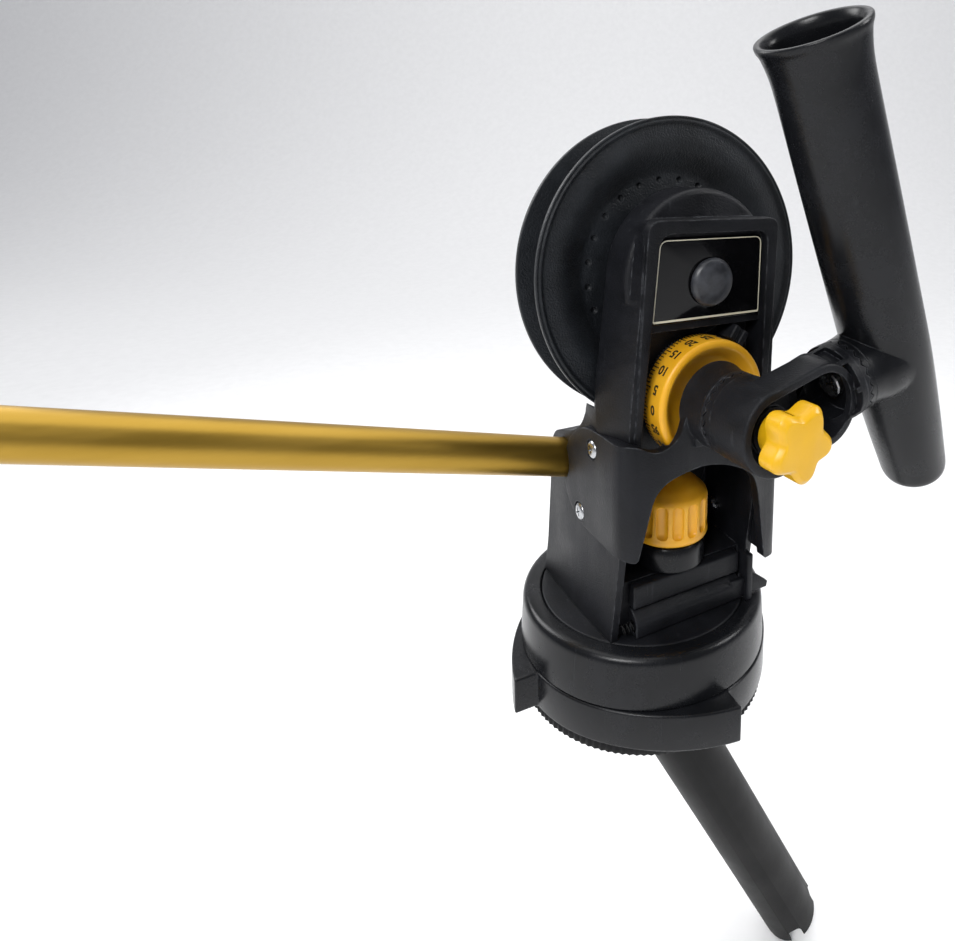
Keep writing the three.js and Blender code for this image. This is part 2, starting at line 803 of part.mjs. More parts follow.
// The boom's line as a rod in the housing's frame
function boomRod(radius, past) {
  const inner = -boom_inner_end - seat_gap - past * overrun;
  const line = rod(radius, inner, boom_reach, medium_round);
  return line.rotateY(boom_tilt - Math.PI / 2).translate(boom_x, boom_y, boom_z);
}

function clampScrewPlace() {
  const x = boom_x + clamp_screw_place * Math.cos(boom_tilt);
  const z = boom_z - clamp_screw_place * Math.sin(boom_tilt);
  return new THREE.Matrix4().makeTranslation(x, boom_y, z);
}

function cheekPlaces() {
  return [
    [-1, cheek_upper_y, cheek_upper_z], [-1, cheek_lower_y, cheek_lower_z],
    [1, cheek_upper_y, cheek_upper_z - saddle_lower_right],
    [1, cheek_lower_y, cheek_lower_z - saddle_lower_right],
  ];
}

// How far out the housing's inner wall is at a place along it
function innerWall(y) {
  const taper = (body_half_width - front_half_width) / (column_front - body_depth * 0.1);
  return body_half_width - body_wall - Math.max(0, -y - body_depth * 0.1) * taper;
}

function cheekHoles() {
  return cheekPlaces().flatMap(([side, y, z]) => {
    const wall = innerWall(y);
    const hole = rod(cheek_screw_radius + seat_gap, 0, saddle_half_width + overrun, tiny_round, sideways);
    const room = rod(cheek_nut_radius + running_gap * 2, wall - cheek_nut_thickness - running_gap, wall,
      tiny_round, sideways);
    return [hole, room].map((geometry) => geometry.rotateZ(side < 0 ? Math.PI : 0).translate(0, y, z));
  });
}

function cheekScrew(side) {
  const seat = saddle_half_width - cheek_bore_depth + seat_gap;
  const length = saddle_half_width - innerWall(cheek_upper_y) + cheek_nut_thickness + running_gap;
  const body = screw(cheek_screw_radius, length, cheek_screw_head, cheek_screw_rise, sideways);
  return body.translate(seat, 0, 0).rotateZ(side < 0 ? Math.PI : 0);
}

function cheekNut(side, y) {
  const outer = innerWall(y) - seat_gap * 2;
  const nut = prism(hexagon(cheek_nut_radius), outer - cheek_nut_thickness, outer, sideways);
  const bore = rod(cheek_screw_radius + seat_gap, 0, body_depth, tiny_round, sideways);
  return cut(nut, bore).rotateZ(side < 0 ? Math.PI : 0);
}

// Release latch: a sliding bar with a pointed tab, and the fixed guide above it
function releaseLatch() {
  const back = -foot_front - seat_gap;
  const section = outline([
    [back, latch_low], [back, latch_top], [-latch_front + latch_chamfer, latch_top],
    [-latch_front, latch_top - latch_chamfer], [-latch_front, latch_low],
  ]);
  const bar = prism(section, -latch_half, latch_right, sideways);
  const middle = (latch_low + latch_top) / 2;
  const tab_low = latch_low + seat_gap;
  const tab = prism(outline([
    [latch_right - tab_point, tab_low], [tab_tip - tab_point, tab_low], [tab_tip, middle - tab_point / 2],
    [tab_tip - tab_point, latch_top], [latch_right - tab_point, latch_top],
  ]), tab_back, latch_front, forward);
  const tongue = block(-tongue_half, tongue_half, back - overrun / 2, back + tongue_depth,
    tongue_low, tongue_high);
  const bore = rod(spring_radius + spring_wire + seat_gap, -latch_half - overrun,
    -latch_half + spring_bore_depth, tiny_round, sideways);
  bore.translate(0, (back - latch_front) / 2, middle);
  return cut(join(bar, tab, tongue), bore);
}

function latchGuide() {
  const right = innerWall(-guide_front) - seat_gap * 2;
  return block(-guide_left, right, -guide_front, -foot_front - seat_gap, guide_low, guide_high);
}

function latchSpring() {
  const start = -innerWall(-latch_front) + spring_wire + seat_gap;
  const end = -latch_half + spring_bore_depth - spring_wire - seat_gap;
  const length = end - start;
  const points = [];
  const steps = spring_turns * 8;
  for (let i = 0; i <= steps; i += 1) {
    const angle = (i / 8) * 2 * Math.PI;
    points.push(new THREE.Vector3(start + (length * i) / steps,
      spring_radius * Math.cos(angle), spring_radius * Math.sin(angle)));
  }
  const wire = new THREE.ExtrudeGeometry(polar(5, () => spring_wire), {
    extrudePath: new THREE.CatmullRomCurve3(points), steps, bevelEnabled: false,
  });
  const back = -foot_front - seat_gap;
  return wire.translate(0, (back - latch_front) / 2, (latch_low + latch_top) / 2);
}

// Swivel lock: a fluted knob on a stud that presses on the cap's well
function knobCollar() {
  return turned([
    [lock_stud_radius + seat_gap, pocket_floor + seat_gap], [collar_radius, pocket_floor + seat_gap],
    [collar_radius, collar_top - collar_step], [collar_radius - collar_step, collar_top],
    [lock_stud_radius + seat_gap, collar_top],
  ], medium_round);
}

function lockKnob() {
  const shoulder = knob_top - flute_high;
  const body = turned([
    [lock_stud_radius + seat_gap, knob_low], [knob_rim_radius, knob_low],
    [knob_rim_radius, knob_low + knob_rim], [knob_radius + seat_gap, flute_low - knob_rim],
    [knob_radius, flute_high], [knob_radius - shoulder * 0.35, flute_high + shoulder * 0.45],
    [knob_radius - shoulder * 1.3, knob_top - shoulder * 0.18], [0, knob_top],
    [0, knob_low + knob_bore_depth], [lock_stud_radius + seat_gap, knob_low + knob_bore_depth],
  ], medium_round);
  const flutes = Array.from({ length: flute_count }, (_, i) => {
    const flute = rod(flute_radius, flute_low, flute_high + overrun / 2, 6);
    return flute.translate(knob_radius + flute_radius / 2, 0, 0).rotateZ((i / flute_count) * 2 * Math.PI);
  });
  return cut(body, ...flutes);
}

function lockStud() {
  const low = well_floor - deck + seat_gap * 2;
  return rod(lock_stud_radius, low, knob_low + knob_bore_depth - seat_gap, small_round, upward, seat_gap * 2);
}

// Column front: name plate, axle cap and the index pointer by the dial
function namePlate() {
  const corners = [
    [-plate_half_low, plate_low], [plate_half_low, plate_low],
    [plate_half_top, plate_top], [-plate_half_top, plate_top],
  ];
  const low = plate_floor + seat_gap;
  const plate = prism(softOutline(corners, [seat_gap, seat_gap, plate_corner, plate_corner]),
    low, low + plate_thickness, forward);
  const hole = rod(button_stem + seat_gap, 0, body_depth, small_round, forward).translate(0, 0, spool_height);
  return cut(plate, hole);
}

function axleCap() {
  const seat = plate_floor + seat_gap + plate_thickness + seat_gap;
  return turned([
    [0, plate_floor - body_wall / 2], [button_stem, plate_floor - body_wall / 2], [button_stem, seat],
    [button_radius, seat], [button_radius, seat + button_rise * 0.35],
    [button_radius * 0.86, seat + button_rise * 0.72], [button_radius * 0.55, seat + button_rise * 0.94],
    [0, seat + button_rise],
  ], medium_round, forward);
}

function indexPointer() {
  const half = pointer_width / 2;
  const low = chamber_depth + seat_gap;
  const body = block(-half, half, -pointer_front, -low, 0, pointer_height);
  const groove = block(-pointer_slot / 2, pointer_slot / 2, -body_depth, -pointer_front + pointer_slot,
    -overrun, body_height);
  const radius = dial_radius + running_gap;
  return cut(body, groove).translate(0, 0, radius).rotateY(Math.PI / 2 - pointer_angle);
}

// Spool: dished flanges, a narrow core, a dimpled ring in front and ribs behind
function spool() {
  const near_inner = spool_front - spool_flange;
  const far_inner = spool_back + spool_flange;
  const web_back = spool_web_front - spool_web;
  const bore = axle_radius + bush_wall + seat_gap * 2;
  const lip = spool_radius - spool_lip;
  const fillet = recess_radius + spool_lip * 2.6;
  const profile = [
    [bore, spool_hub_back], [spool_hub, spool_hub_back], [spool_hub, web_back],
    [recess_radius - spool_web, web_back], [recess_radius, web_back - spool_web],
    [recess_radius, spool_back + spool_dish * 2], [fillet, spool_back + spool_dish],
    [lip - spool_dish, spool_back + spool_dish], [lip, spool_back],
    [spool_radius - spool_edge, spool_back], [spool_radius, spool_back + spool_edge],
    [spool_radius, far_inner - spool_edge], [spool_core + spool_lip, far_inner + spool_edge],
    [spool_core, far_inner + spool_lip], [spool_core, near_inner - spool_lip],
    [spool_core + spool_lip, near_inner - spool_edge], [spool_radius, near_inner + spool_edge],
    [spool_radius, spool_front - spool_edge], [spool_radius - spool_edge, spool_front],
    [lip, spool_front], [lip - spool_dish, spool_front - spool_dish],
    [fillet, spool_front - spool_dish], [recess_radius + spool_lip, spool_web_front + spool_web],
    [recess_radius, spool_web_front], [bore, spool_web_front],
  ];
  const body = turned(profile, large_round, forward);
  const dimples = Array.from({ length: dimple_count }, (_, i) => {
    const dimple = rod(dimple_radius, spool_web_front - dimple_radius, spool_web_front + overrun, 6, forward);
    return dimple.translate(dimple_circle, 0, 0).rotateY((i / dimple_count) * 2 * Math.PI);
  });
  const ribs = Array.from({ length: spool_rib_count }, (_, i) => {
    const half = spool_rib_width / 2;
    const rib = block(spool_hub - half, recess_radius + half, -web_back - half, -spool_back - spool_lip * 2,
      -half, half);
    return rib.rotateY((i / spool_rib_count) * 2 * Math.PI);
  });
  const middle = (spool_front + spool_back) / 2;
  const cord_hole = rod(cord_hole_radius, recess_radius - overrun, spool_core + overrun, 8, upward);
  cord_hole.translate(0, -middle + spool_rib_width * 2, 0);
  return cut(join(body, ...ribs), ...dimples, cord_hole);
}

const sleeve_front = chamber_depth + seat_gap;
const spool_sleeve = axle_radius + bush_wall;

// The front bush is a sleeve that also carries the counter's finger
function frontBush() {
  const bore = axle_radius + seat_gap;
  const stop = spool_web_front + seat_gap;
  return turned([
    [bore, spool_web_front - bush_length], [spool_sleeve, spool_web_front - bush_length],
    [spool_sleeve, stop], [spool_sleeve + bush_flange / 2, stop],
    [spool_sleeve + bush_flange / 2, stop + bush_flange], [spool_sleeve, stop + bush_flange],
    [spool_sleeve, sleeve_front], [bore, sleeve_front],
  ], small_round, forward);
}

function backBush() {
  const bore = axle_radius + seat_gap;
  return turned([
    [bore, spool_hub_back - seat_gap - bush_flange], [spool_sleeve + bush_flange * 2,
      spool_hub_back - seat_gap - bush_flange],
    [spool_sleeve + bush_flange * 2, spool_hub_back - seat_gap], [spool_sleeve, spool_hub_back - seat_gap],
    [spool_sleeve, spool_hub_back + bush_length], [bore, spool_hub_back + bush_length],
  ], small_round, forward);
}

function counterFinger() {
  const low = sleeve_front + seat_gap;
  const high = low + counter_thickness - seat_gap * 2;
  const hub = rod(finger_hub, low, high, small_round, forward);
  const tip = finger_reach - wheel_tooth_depth / 2 - seat_gap / 2;
  const finger = block(0, tip, -high, -low, -finger_width / 2, finger_width / 2);
  const bore = rod(axle_radius + seat_gap, 0, body_depth, small_round, forward);
  return cut(join(hub, finger.rotateY(-finger_rest)), bore);
}

const back_stack = spool_hub_back - seat_gap - bush_flange;
const washer_back = back_stack - seat_gap - drag_washer_thickness;
const crank_back = washer_back - seat_gap - crank_thickness;

function spoolAxle() {
  return rod(axle_radius, -axle_back, plate_floor - body_wall / 2 - seat_gap, small_round, forward,
    seat_gap * 2);
}

function dragWasher() {
  return ring(axle_radius + seat_gap, drag_washer_radius, washer_back, back_stack - seat_gap,
    small_round, forward);
}

function crankArm() {
  const shape = new THREE.Shape();
  const lean = Math.asin((crank_hub - crank_end) / crank_radius);
  shape.absarc(0, 0, crank_hub, Math.PI / 2 - lean, Math.PI * 1.5 + lean);
  shape.absarc(crank_radius, 0, crank_end, -Math.PI / 2 + lean, Math.PI / 2 - lean);
  const arm = prism(shape, crank_back, crank_back + crank_thickness, forward, 12);
  const bore = rod(axle_radius + seat_gap, -body_depth, body_depth, small_round, forward);
  const pin = rod(crank_pin_radius + seat_gap, -body_depth, body_depth, tiny_round, forward);
  pin.translate(crank_radius, 0, 0);
  const middle = crank_radius * 0.52;
  const window = prism(slot(crank_radius * 0.3, crank_end * 0.4), -body_depth, body_depth, forward);
  window.translate(middle - crank_radius * 0.15, 0, 0);
  return cut(arm, bore, pin, window);
}

const grip_front = crank_back - grip_play;
const grip_back = grip_front - grip_length;
const pin_back = grip_back - grip_play;

function crankPin() {
  const head = crank_pin_radius * 1.7;
  return turned([
    [0, pin_back - crank_pin_radius], [head, pin_back - crank_pin_radius], [head, pin_back],
    [crank_pin_radius, pin_back], [crank_pin_radius, crank_back + crank_thickness],
    [0, crank_back + crank_thickness],
  ], tiny_round, forward);
}

function crankGrip() {
  const bore = crank_pin_radius + seat_gap;
  const mid = (grip_front + grip_back) / 2;
  return turned([
    [bore, grip_back], [grip_radius - grip_waist, grip_back], [grip_radius, grip_back + grip_waist],
    [grip_radius, grip_back + grip_waist * 3], [grip_radius - grip_waist, mid],
    [grip_radius - grip_waist / 2, grip_front - grip_waist], [grip_radius - grip_waist * 2, grip_front],
    [bore, grip_front],
  ], small_round, forward);
}

function dragKnob() {
  const front = crank_back - seat_gap * 2;
  const points = 40;
  const shape = polar(points, (share) => drag_knob_radius - drag_lobe_depth
    + drag_lobe_depth * Math.cos(share * drag_lobe_count * 2 * Math.PI));
  const body = prism(shape, front - drag_knob_height, front - drag_knob_height / 4, forward);
  const neck = rod(crank_hub * 0.8, front - drag_knob_height / 2, front, small_round, forward);
  const bore = rod(axle_radius + seat_gap, -axle_back - seat_gap, body_depth, small_round, forward);
  return cut(join(body, neck), bore);
}

// Depth dial: a cup whose front is dished, with the counter's wheel behind it
function depthDial() {
  const bore = dial_bore + seat_gap;
  const rim = dial_front - dial_wall / 3;
  const profile = [
    [bore, dial_back + counter_thickness], [dial_hub, dial_back + counter_thickness],
    [dial_radius - dial_wall * 1.5, dial_back + dial_wall], [dial_radius - dial_wall, dial_back],
    [dial_radius - dial_rebate, dial_back], [dial_radius - dial_rebate, dial_back + dial_rebate],
    [dial_radius, dial_back + dial_rebate], [dial_radius, rim], [dial_radius - dial_wall / 3, dial_front],
    [dial_radius - dial_wall, dial_front], [dial_radius - dial_wall * 2, rim - dial_wall / 2],
    [dial_radius - dial_wall * 2.6, dial_front - dial_wall * 2.4], [dial_hub, dial_front - dial_wall * 3],
    [bore, dial_front - dial_wall * 3],
  ];
  return turned(profile, large_round, forward);
}

function counterWheel() {
  const steps = wheel_tooth_count * 2;
  const pitch = spool_height - dial_height - finger_reach;
  const shape = polar(steps, (share) => (
    Math.round(share * steps) % 2 === 0 ? pitch + wheel_tooth_depth / 2 : pitch - wheel_tooth_depth / 2));
  const low = chamber_depth + seat_gap;
  const wheel = prism(shape, low, dial_back - seat_gap, forward);
  const hub = rod(dial_hub - seat_gap * 2, low, dial_back + counter_thickness - seat_gap, small_round,
    forward);
  return cut(join(wheel, hub), rod(dial_bore + seat_gap, 0, body_depth, small_round, forward));
}

function dialScrew() {
  const head_back = dial_front - dial_wall * 3 + seat_gap;
  const shank = rod(dial_bore, column_back + running_gap, head_back + seat_gap, small_round, forward);
  const head = rod(dial_screw_head, head_back, dial_screw_front, small_round, forward, seat_gap * 2);
  return join(shank, head);
}

// Saddle bracket: a bridge bowed round the dial, two cheeks, and a toothed boss
// Front view as shares of the half width and of the boss's height, left side first
const saddle_front_shares = [
  [-1.1, 0.87], [-1.1, 0.412], [-0.74, 0.407], [-0.62, 0.6], [-0.567, 0.695], [-0.38, 0.745], [0, 0.763],
  [0.34, 0.742], [0.53, 0.7], [0.648, 0.608], [0.798, 0.261], [1.1, 0.261], [1.1, 0.82], [0.86, 0.887],
  [0.67, 0.843], [0.47, 0.9], [0.4, 1], [-0.4, 1], [-0.47, 0.9], [-0.67, 0.843], [-0.86, 0.887],
];
// Side view of the left cheek as shares of the front and of the boss's height
const cheek_side_shares = [
  [-1.2, 0.38], [-0.75, 0.412], [-0.28, 0.44], [-0.07, 0.485], [0.02, 0.56], [0.03, 0.65], [-0.04, 0.76],
  [-0.2, 0.84], [-0.36, 0.872], [-0.85, 0.885], [-1.2, 1.3],
];
// Plan of the bowed band's outer face, right half, as shares of the half width and the front
const saddle_plan_shares = [
  [1, 0.1], [1, -0.76], [0.97, -0.815], [0.86, -0.865], [0.68, -0.925], [0.48, -0.985], [0.4, -1],
];

function saddleBand() {
  const outer = mirrored(scaled(saddle_plan_shares, saddle_half_width, saddle_front));
  const inner_width = saddle_half_width - saddle_wall;
  const inner_front = saddle_front - saddle_band;
  const inner = mirrored(scaled(saddle_plan_shares, inner_width, inner_front));
  const stretch = inner.map(([x, y]) => [x, y > 0 ? y + overrun : y]);
  return cut(prism(outline(outer), 0, saddle_height), prism(outline(stretch), -overrun, body_height));
}

function saddleBracket() {
  const front = prism(outline(scaled(saddle_front_shares, saddle_half_width, saddle_height)),
    -body_depth, body_depth, forward);
  const cheek = scaled(cheek_side_shares, saddle_front, saddle_height);
  const left = prism(outline(cheek), -body_depth, 0, sideways);
  const lowered = cheek.map(([y, z], i) => [y, i < cheek.length - 3 ? z - saddle_lower_right : z]);
  const right = prism(outline(lowered), -overrun, body_depth, sideways);
  const lower_edge = boss_front - crown_depth / 2 - saddle_wall;
  const boss = join(
    rod(boss_radius, boss_back, lower_edge + seat_gap, medium_round, forward),
    crown(crown_bore, boss_radius, lower_edge, boss_front - crown_depth / 2, forward),
    rod(crown_bore + seat_gap, boss_back, boss_front - crown_depth, medium_round, forward));
  boss.translate(0, 0, saddle_height);
  const clearance = turned([
    [0, -body_depth], [dial_radius + running_gap, -body_depth], [dial_radius + running_gap, boss_back],
    [0, boss_back],
  ], medium_round, forward).translate(0, 0, dial_height);
  const fillet_low = saddle_height - boss_radius * 0.55;
  const web = block(-boss_radius * 0.8, boss_radius * 0.8, -saddle_front - saddle_wall, -boss_back,
    fillet_low - boss_radius * 0.3, saddle_height);
  const room = rod(clamp_head + seat_gap, 0, boss_back + clamp_head_depth + seat_gap, small_round, forward);
  const bolt = rod(clamp_radius + seat_gap, 0, body_depth, small_round, forward);
  [room, bolt].forEach((geometry) => geometry.translate(0, 0, saddle_height));
  const bores = cheekPlaces().map(([side, y, z]) => {
    const bore = rod(cheek_screw_head + running_gap, saddle_half_width - cheek_bore_depth, body_depth,
      small_round, sideways);
    return bore.rotateZ(side < 0 ? Math.PI : 0).translate(0, y, z);
  });
  const band = meet(saddleBand(), front, join(left, right));
  const boom_room = boomRod(boom_radius + running_gap * 2, 0);
  return cut(join(cut(band, bodyForm(seat_gap)), boss, web), clearance, room, bolt, boom_room, ...bores,
    ...cheekHoles());
}

// The clamp bolt's head sits in the boss, and its end is inside the star knob
function elbowBolt() {
  const seat = boss_back + clamp_head_depth;
  const head = prism(hexagon(clamp_head), boss_back + seat_gap, seat, forward);
  const shank = rod(clamp_radius, seat - seat_gap, boss_front + star_front - star_bevel * 2, small_round,
    forward);
  return join(head, shank);
}

// The elbow's frame: its origin is on the boss's axis at the crown, +X runs to the neck
function elbow() {
  const floor = seat_gap * 2;
  const shell = prism(slot(elbow_span, elbow_radius), floor + crown_depth, elbow_depth, forward, 9);
  const heel = rod(elbow_radius - seat_gap * 2, floor + crown_depth / 2, elbow_floor, medium_round, forward);
  const teeth = crown(crown_bore, elbow_radius - seat_gap, elbow_floor - seat_gap * 2,
    seat_gap + crown_depth / 2, forward);
  const heel_room = ring(crown_bore + seat_gap, elbow_radius + overrun, -overrun, crown_depth + seat_gap * 2,
    medium_round, forward);
  const flat_teeth = cut(heel, heel_room);
  const collar = rod(neck_collar_radius, neck_collar_back, neck_joint - neck_disc / 2, medium_round, sideways);
  const crest = crown(crown_bore, neck_collar_radius - seat_gap, neck_joint - neck_disc / 2 - seat_gap * 3,
    neck_joint - crown_depth / 2, sideways);
  const neck_core = rod(crown_bore + seat_gap, neck_collar_back, neck_joint - crown_depth, small_round,
    sideways);
  [collar, crest, neck_core].forEach((geometry) => geometry.translate(0, -neck_depth, 0));
  const pocket = prism(slot(elbow_span, elbow_radius - elbow_wall), elbow_floor, body_depth, forward, 9);
  const hollow = rod(neck_collar_radius - elbow_wall, elbow_span, neck_joint - neck_disc, medium_round,
    sideways).translate(0, -neck_depth, 0);
  const keep = block(elbow_span, neck_joint, -elbow_depth + elbow_wall, -elbow_floor, -elbow_radius,
    elbow_radius);
  const windows = Array.from({ length: window_count / 2 }, (_, i) => {
    const end = neck_joint - neck_disc;
    const window = block(end - window_length, end, -window_width / 2, window_width / 2,
      -elbow_radius - overrun, elbow_radius + overrun);
    return window.rotateX((i / window_count) * 2 * Math.PI).translate(0, -neck_depth, 0);
  });
  const boss = rod(elbow_boss, elbow_floor - seat_gap, elbow_boss_front, small_round, forward);
  const clamp = rod(clamp_radius + seat_gap, -overrun, body_depth, small_round, forward);
  const bolt = rod(neck_bolt_radius + seat_gap, elbow_span, neck_joint + overrun, small_round, sideways);
  bolt.translate(0, -neck_depth, 0);
  const catch_front = -elbow_depth + elbow_wall;
  const hole = block(elbow_span / 2, elbow_span / 2 + catch_hole, catch_front, catch_front + catch_hole, 0,
    elbow_radius + overrun);
  const outside = join(shell, flat_teeth, teeth, collar, crest, neck_core);
  const inside = cut(outside, pocket, meet(hollow, keep), ...windows);
  return cut(join(inside, boss), clamp, bolt, hole);
}

function elbowWasher() {
  const low = elbow_boss_front + seat_gap;
  return ring(clamp_radius + seat_gap, elbow_boss - seat_gap, low, low + elbow_washer_thickness,
    small_round, forward);
}

// Star knob: six round lobes with a bevel on the front edge
function starOutline(shrink) {
  const middle = (star_tip_radius + star_valley_radius) / 2 - shrink;
  const swing = (star_tip_radius - star_valley_radius) / 2;
  return (share) => middle + swing * Math.cos(share * star_lobes * 2 * Math.PI);
}

function starKnob() {
  const points = 42;
  const low = prism(polar(points, starOutline(0), star_turn), star_back, star_front - star_bevel, forward);
  const shape = polar(points, starOutline(star_bevel), star_turn);
  const top = new THREE.ExtrudeGeometry(shape, {
    depth: star_bevel, bevelEnabled: true, bevelThickness: star_bevel, bevelSize: star_bevel,
    bevelSegments: 1, curveSegments: 6,
  });
  top.translate(0, 0, star_front - star_bevel * 2).applyMatrix4(forward);
  const above = block(-body_depth, body_depth, -body_depth, -star_front, -body_depth, body_depth);
  const shank = rod(star_shank, elbow_boss_front + elbow_washer_thickness + seat_gap * 3, star_back
    + star_bevel, small_round, forward);
  const bore = rod(clamp_radius + seat_gap, 0, star_front - star_bevel * 2 + seat_gap, small_round, forward);
  return cut(join(low, cut(top, above), shank), bore);
}

// Rod holder, in the frame of the neck joint: +X runs along the joint's axis
// Outer radius along the tube from its foot, as shares of its length and of its radius
const holder_profile_shares = [
  [0.012, 0.86], [0.035, 0.99], [0.08, 1.1], [0.137, 1.17], [0.196, 1.213], [0.262, 1.274], [0.34, 1.299],
  [0.65, 1.299], [0.93, 1.284],
];

function rodHolder() {
  const length = holder_above + holder_below;
  const low = -holder_below;
  const wide = holder_radius / 1.299;
  const outside = holder_profile_shares.map(([along, share]) => [wide * share, low + length * along]);
  const top = holder_above;
  const flare = [
    [holder_radius + holder_lip * 0.12, top - holder_lip * 4.3],
    [holder_radius + holder_lip * 0.62, top - holder_lip * 1.4],
    [holder_radius + holder_lip, top - holder_lip * 0.7], [holder_radius + holder_lip, top],
  ];
  const bore = holder_radius - holder_wall;
  const foot_bore = holder_foot_radius - holder_wall;
  const inside = [
    [holder_radius + holder_lip * 0.1, top], [bore + holder_wall * 0.35, top - holder_lip],
    [bore, top - holder_lip * 4], [bore, low + length * 0.33], [foot_bore, low + holder_floor * 2],
    [foot_bore - holder_wall, low + holder_floor], [holder_drain, low + holder_floor],
  ];
  const tube = turned([[holder_drain, low], [wide * 0.62, low], ...outside, ...flare, ...inside],
    medium_round);
  const room = turned([
    [0, low + holder_floor], [foot_bore - holder_wall, low + holder_floor], [foot_bore, low
      + holder_floor * 2],
    [bore, low + length * 0.33], [bore, top], [0, top],
  ], medium_round);
  const place = new THREE.Matrix4().makeRotationX(holder_nod)
    .multiply(new THREE.Matrix4().makeTranslation(holder_reach, 0, 0))
    .multiply(new THREE.Matrix4().makeRotationY(-holder_lean));
  [tube, room].forEach((geometry) => geometry.applyMatrix4(place));
  const face = neck_joint + seat_gap + crown_depth / 2;
  const ridge = crown(crown_bore, neck_collar_radius, face + neck_disc / 2 + seat_gap, face, sideways);
  const neck = turned([
    [0, face + neck_disc / 2], [neck_collar_radius, face + neck_disc / 2],
    [holder_neck_radius, face + neck_disc], [holder_neck_radius * 1.08, holder_neck_end],
    [0, holder_neck_end],
  ], medium_round, sideways);
  const core = rod(crown_bore + seat_gap, face + crown_depth, holder_neck_end, small_round, sideways);
  const bolt = rod(neck_bolt_radius + seat_gap, 0, holder_reach, small_round, sideways);
  const nut_back = neckNutBack();
  const nut = prism(hexagon(neck_nut_radius + seat_gap), nut_back - seat_gap, holder_reach, sideways);
  return cut(join(tube, neck, ridge, core), room, bolt, nut);
}

function neckNutBack() {
  return holder_reach - holder_radius + holder_wall - neck_nut_height - seat_gap * 2;
}

function neckBolt() {
  const seat = neck_joint - neck_disc - seat_gap;
  const head = rod(neck_bolt_head, seat - neck_bolt_head_height, seat, small_round, sideways, seat_gap * 2);
  const end = neckNutBack() + neck_nut_height;
  return join(head, rod(neck_bolt_radius, seat - seat_gap, end, small_round, sideways));
}

function neckNut() {
  const low = neckNutBack();
  const nut = prism(hexagon(neck_nut_radius), low, low + neck_nut_height, sideways);
  return cut(nut, rod(neck_bolt_radius + seat_gap, 0, holder_reach, small_round, sideways));
}

// Boom, in its own frame: +Z runs along it to its tip
function boomTube() {
  const tube = ring(boom_radius - boom_wall, boom_radius, -boom_inner_end, boom_reach, medium_round);
  const hole = rod(clamp_screw_radius + seat_gap, 0, boom_radius + overrun, tiny_round, forward);
  hole.rotateZ(Math.PI).translate(0, 0, -clamp_screw_place);
  return cut(tube, hole);
}

function boomClampScrew() {
  const back = body_depth * 0.274;
  const body = screw(clamp_screw_radius, clamp_screw_length, clamp_screw_head, clamp_screw_rise, forward);
  return body.rotateZ(Math.PI).translate(0, back - boom_y + seat_gap, 0).applyMatrix4(clampScrewPlace());
}

const pulley_centre = boom_reach + head_collar + head_fork * 0.62;

function boomHead() {
  const inner = boom_radius - boom_wall - seat_gap;
  const collar_low = boom_reach + seat_gap;
  const body = turned([
    [0, boom_reach - head_plug], [inner, boom_reach - head_plug], [inner, collar_low],
    [head_collar_radius, collar_low], [head_collar_radius, boom_reach + head_collar * 0.7],
    [head_collar_radius * 0.8, boom_reach + head_collar], [0, boom_reach + head_collar],
  ], medium_round);
  const half = head_slot / 2 + head_cheek;
  const profile = softOutline([
    [-head_collar_radius * 0.8, collar_low + head_collar / 2],
    [head_collar_radius * 0.8, collar_low + head_collar / 2],
    [head_collar_radius * 0.9, pulley_centre], [head_collar_radius * 0.45, boom_reach + head_collar
      + head_fork],
    [-head_collar_radius * 0.45, boom_reach + head_collar + head_fork],
    [-head_collar_radius * 0.9, pulley_centre],
  ], [0, 0, head_cheek, head_cheek, head_cheek, head_cheek]);
  const fork = prism(profile, -half, half, forward);
  const room = block(-body_depth, body_depth, -head_slot / 2, head_slot / 2,
    pulley_centre - pulley_radius - running_gap * 2, boom_reach + body_depth);
  const pin = rod(pulley_pin_radius + seat_gap, -body_depth, body_depth, tiny_round, forward);
  pin.translate(0, 0, pulley_centre);
  return cut(join(body, fork), room, pin);
}

function boomPulley() {
  const half = head_slot / 2 - running_gap;
  const groove = pulley_radius - pulley_groove;
  return turned([
    [pulley_pin_radius + seat_gap, -half], [pulley_radius - seat_gap, -half], [pulley_radius, -half * 0.7],
    [groove, -half * 0.2], [groove, half * 0.2], [pulley_radius, half * 0.7],
    [pulley_radius - seat_gap, half], [pulley_pin_radius + seat_gap, half],
  ], medium_round, forward);
}

function pulleyPin() {
  const half = head_slot / 2 + head_cheek + seat_gap;
  return turned([
    [0, -half], [pulley_pin_radius, -half], [pulley_pin_radius, half], [pulley_pin_head, half],
    [pulley_pin_head, half + pulley_pin_radius / 2], [0, half + pulley_pin_radius / 2],
  ], tiny_round, forward);
}

// Base, which stays still in the rod holder
const base = group(downrigger);
piece(base, 'stem_tube', stemTube(), 'alloy');
piece(base, 'stem_set_screw', stemSetScrew(), 'steel');
piece(base, 'index_plate', indexPlate(), 'nylon');
baseScrewPlaces().forEach(([x, y], i) => {
  piece(base, `base_screw_${i + 1}`, baseScrew(), 'steel').position.set(x, y, 0);
});
piece(base, 'lock_ring', lockRing(), 'nylon');
piece(base, 'base_cap', baseCap(), 'nylon');
piece(base, 'slip_ring', slipRing(), 'button');
piece(base, 'pivot_insert', pivotInsert(), 'brass');
piece(base, 'pivot_bolt', pivotBolt(), 'steel');
piece(base, 'pivot_washer', pivotWasher(), 'steel');

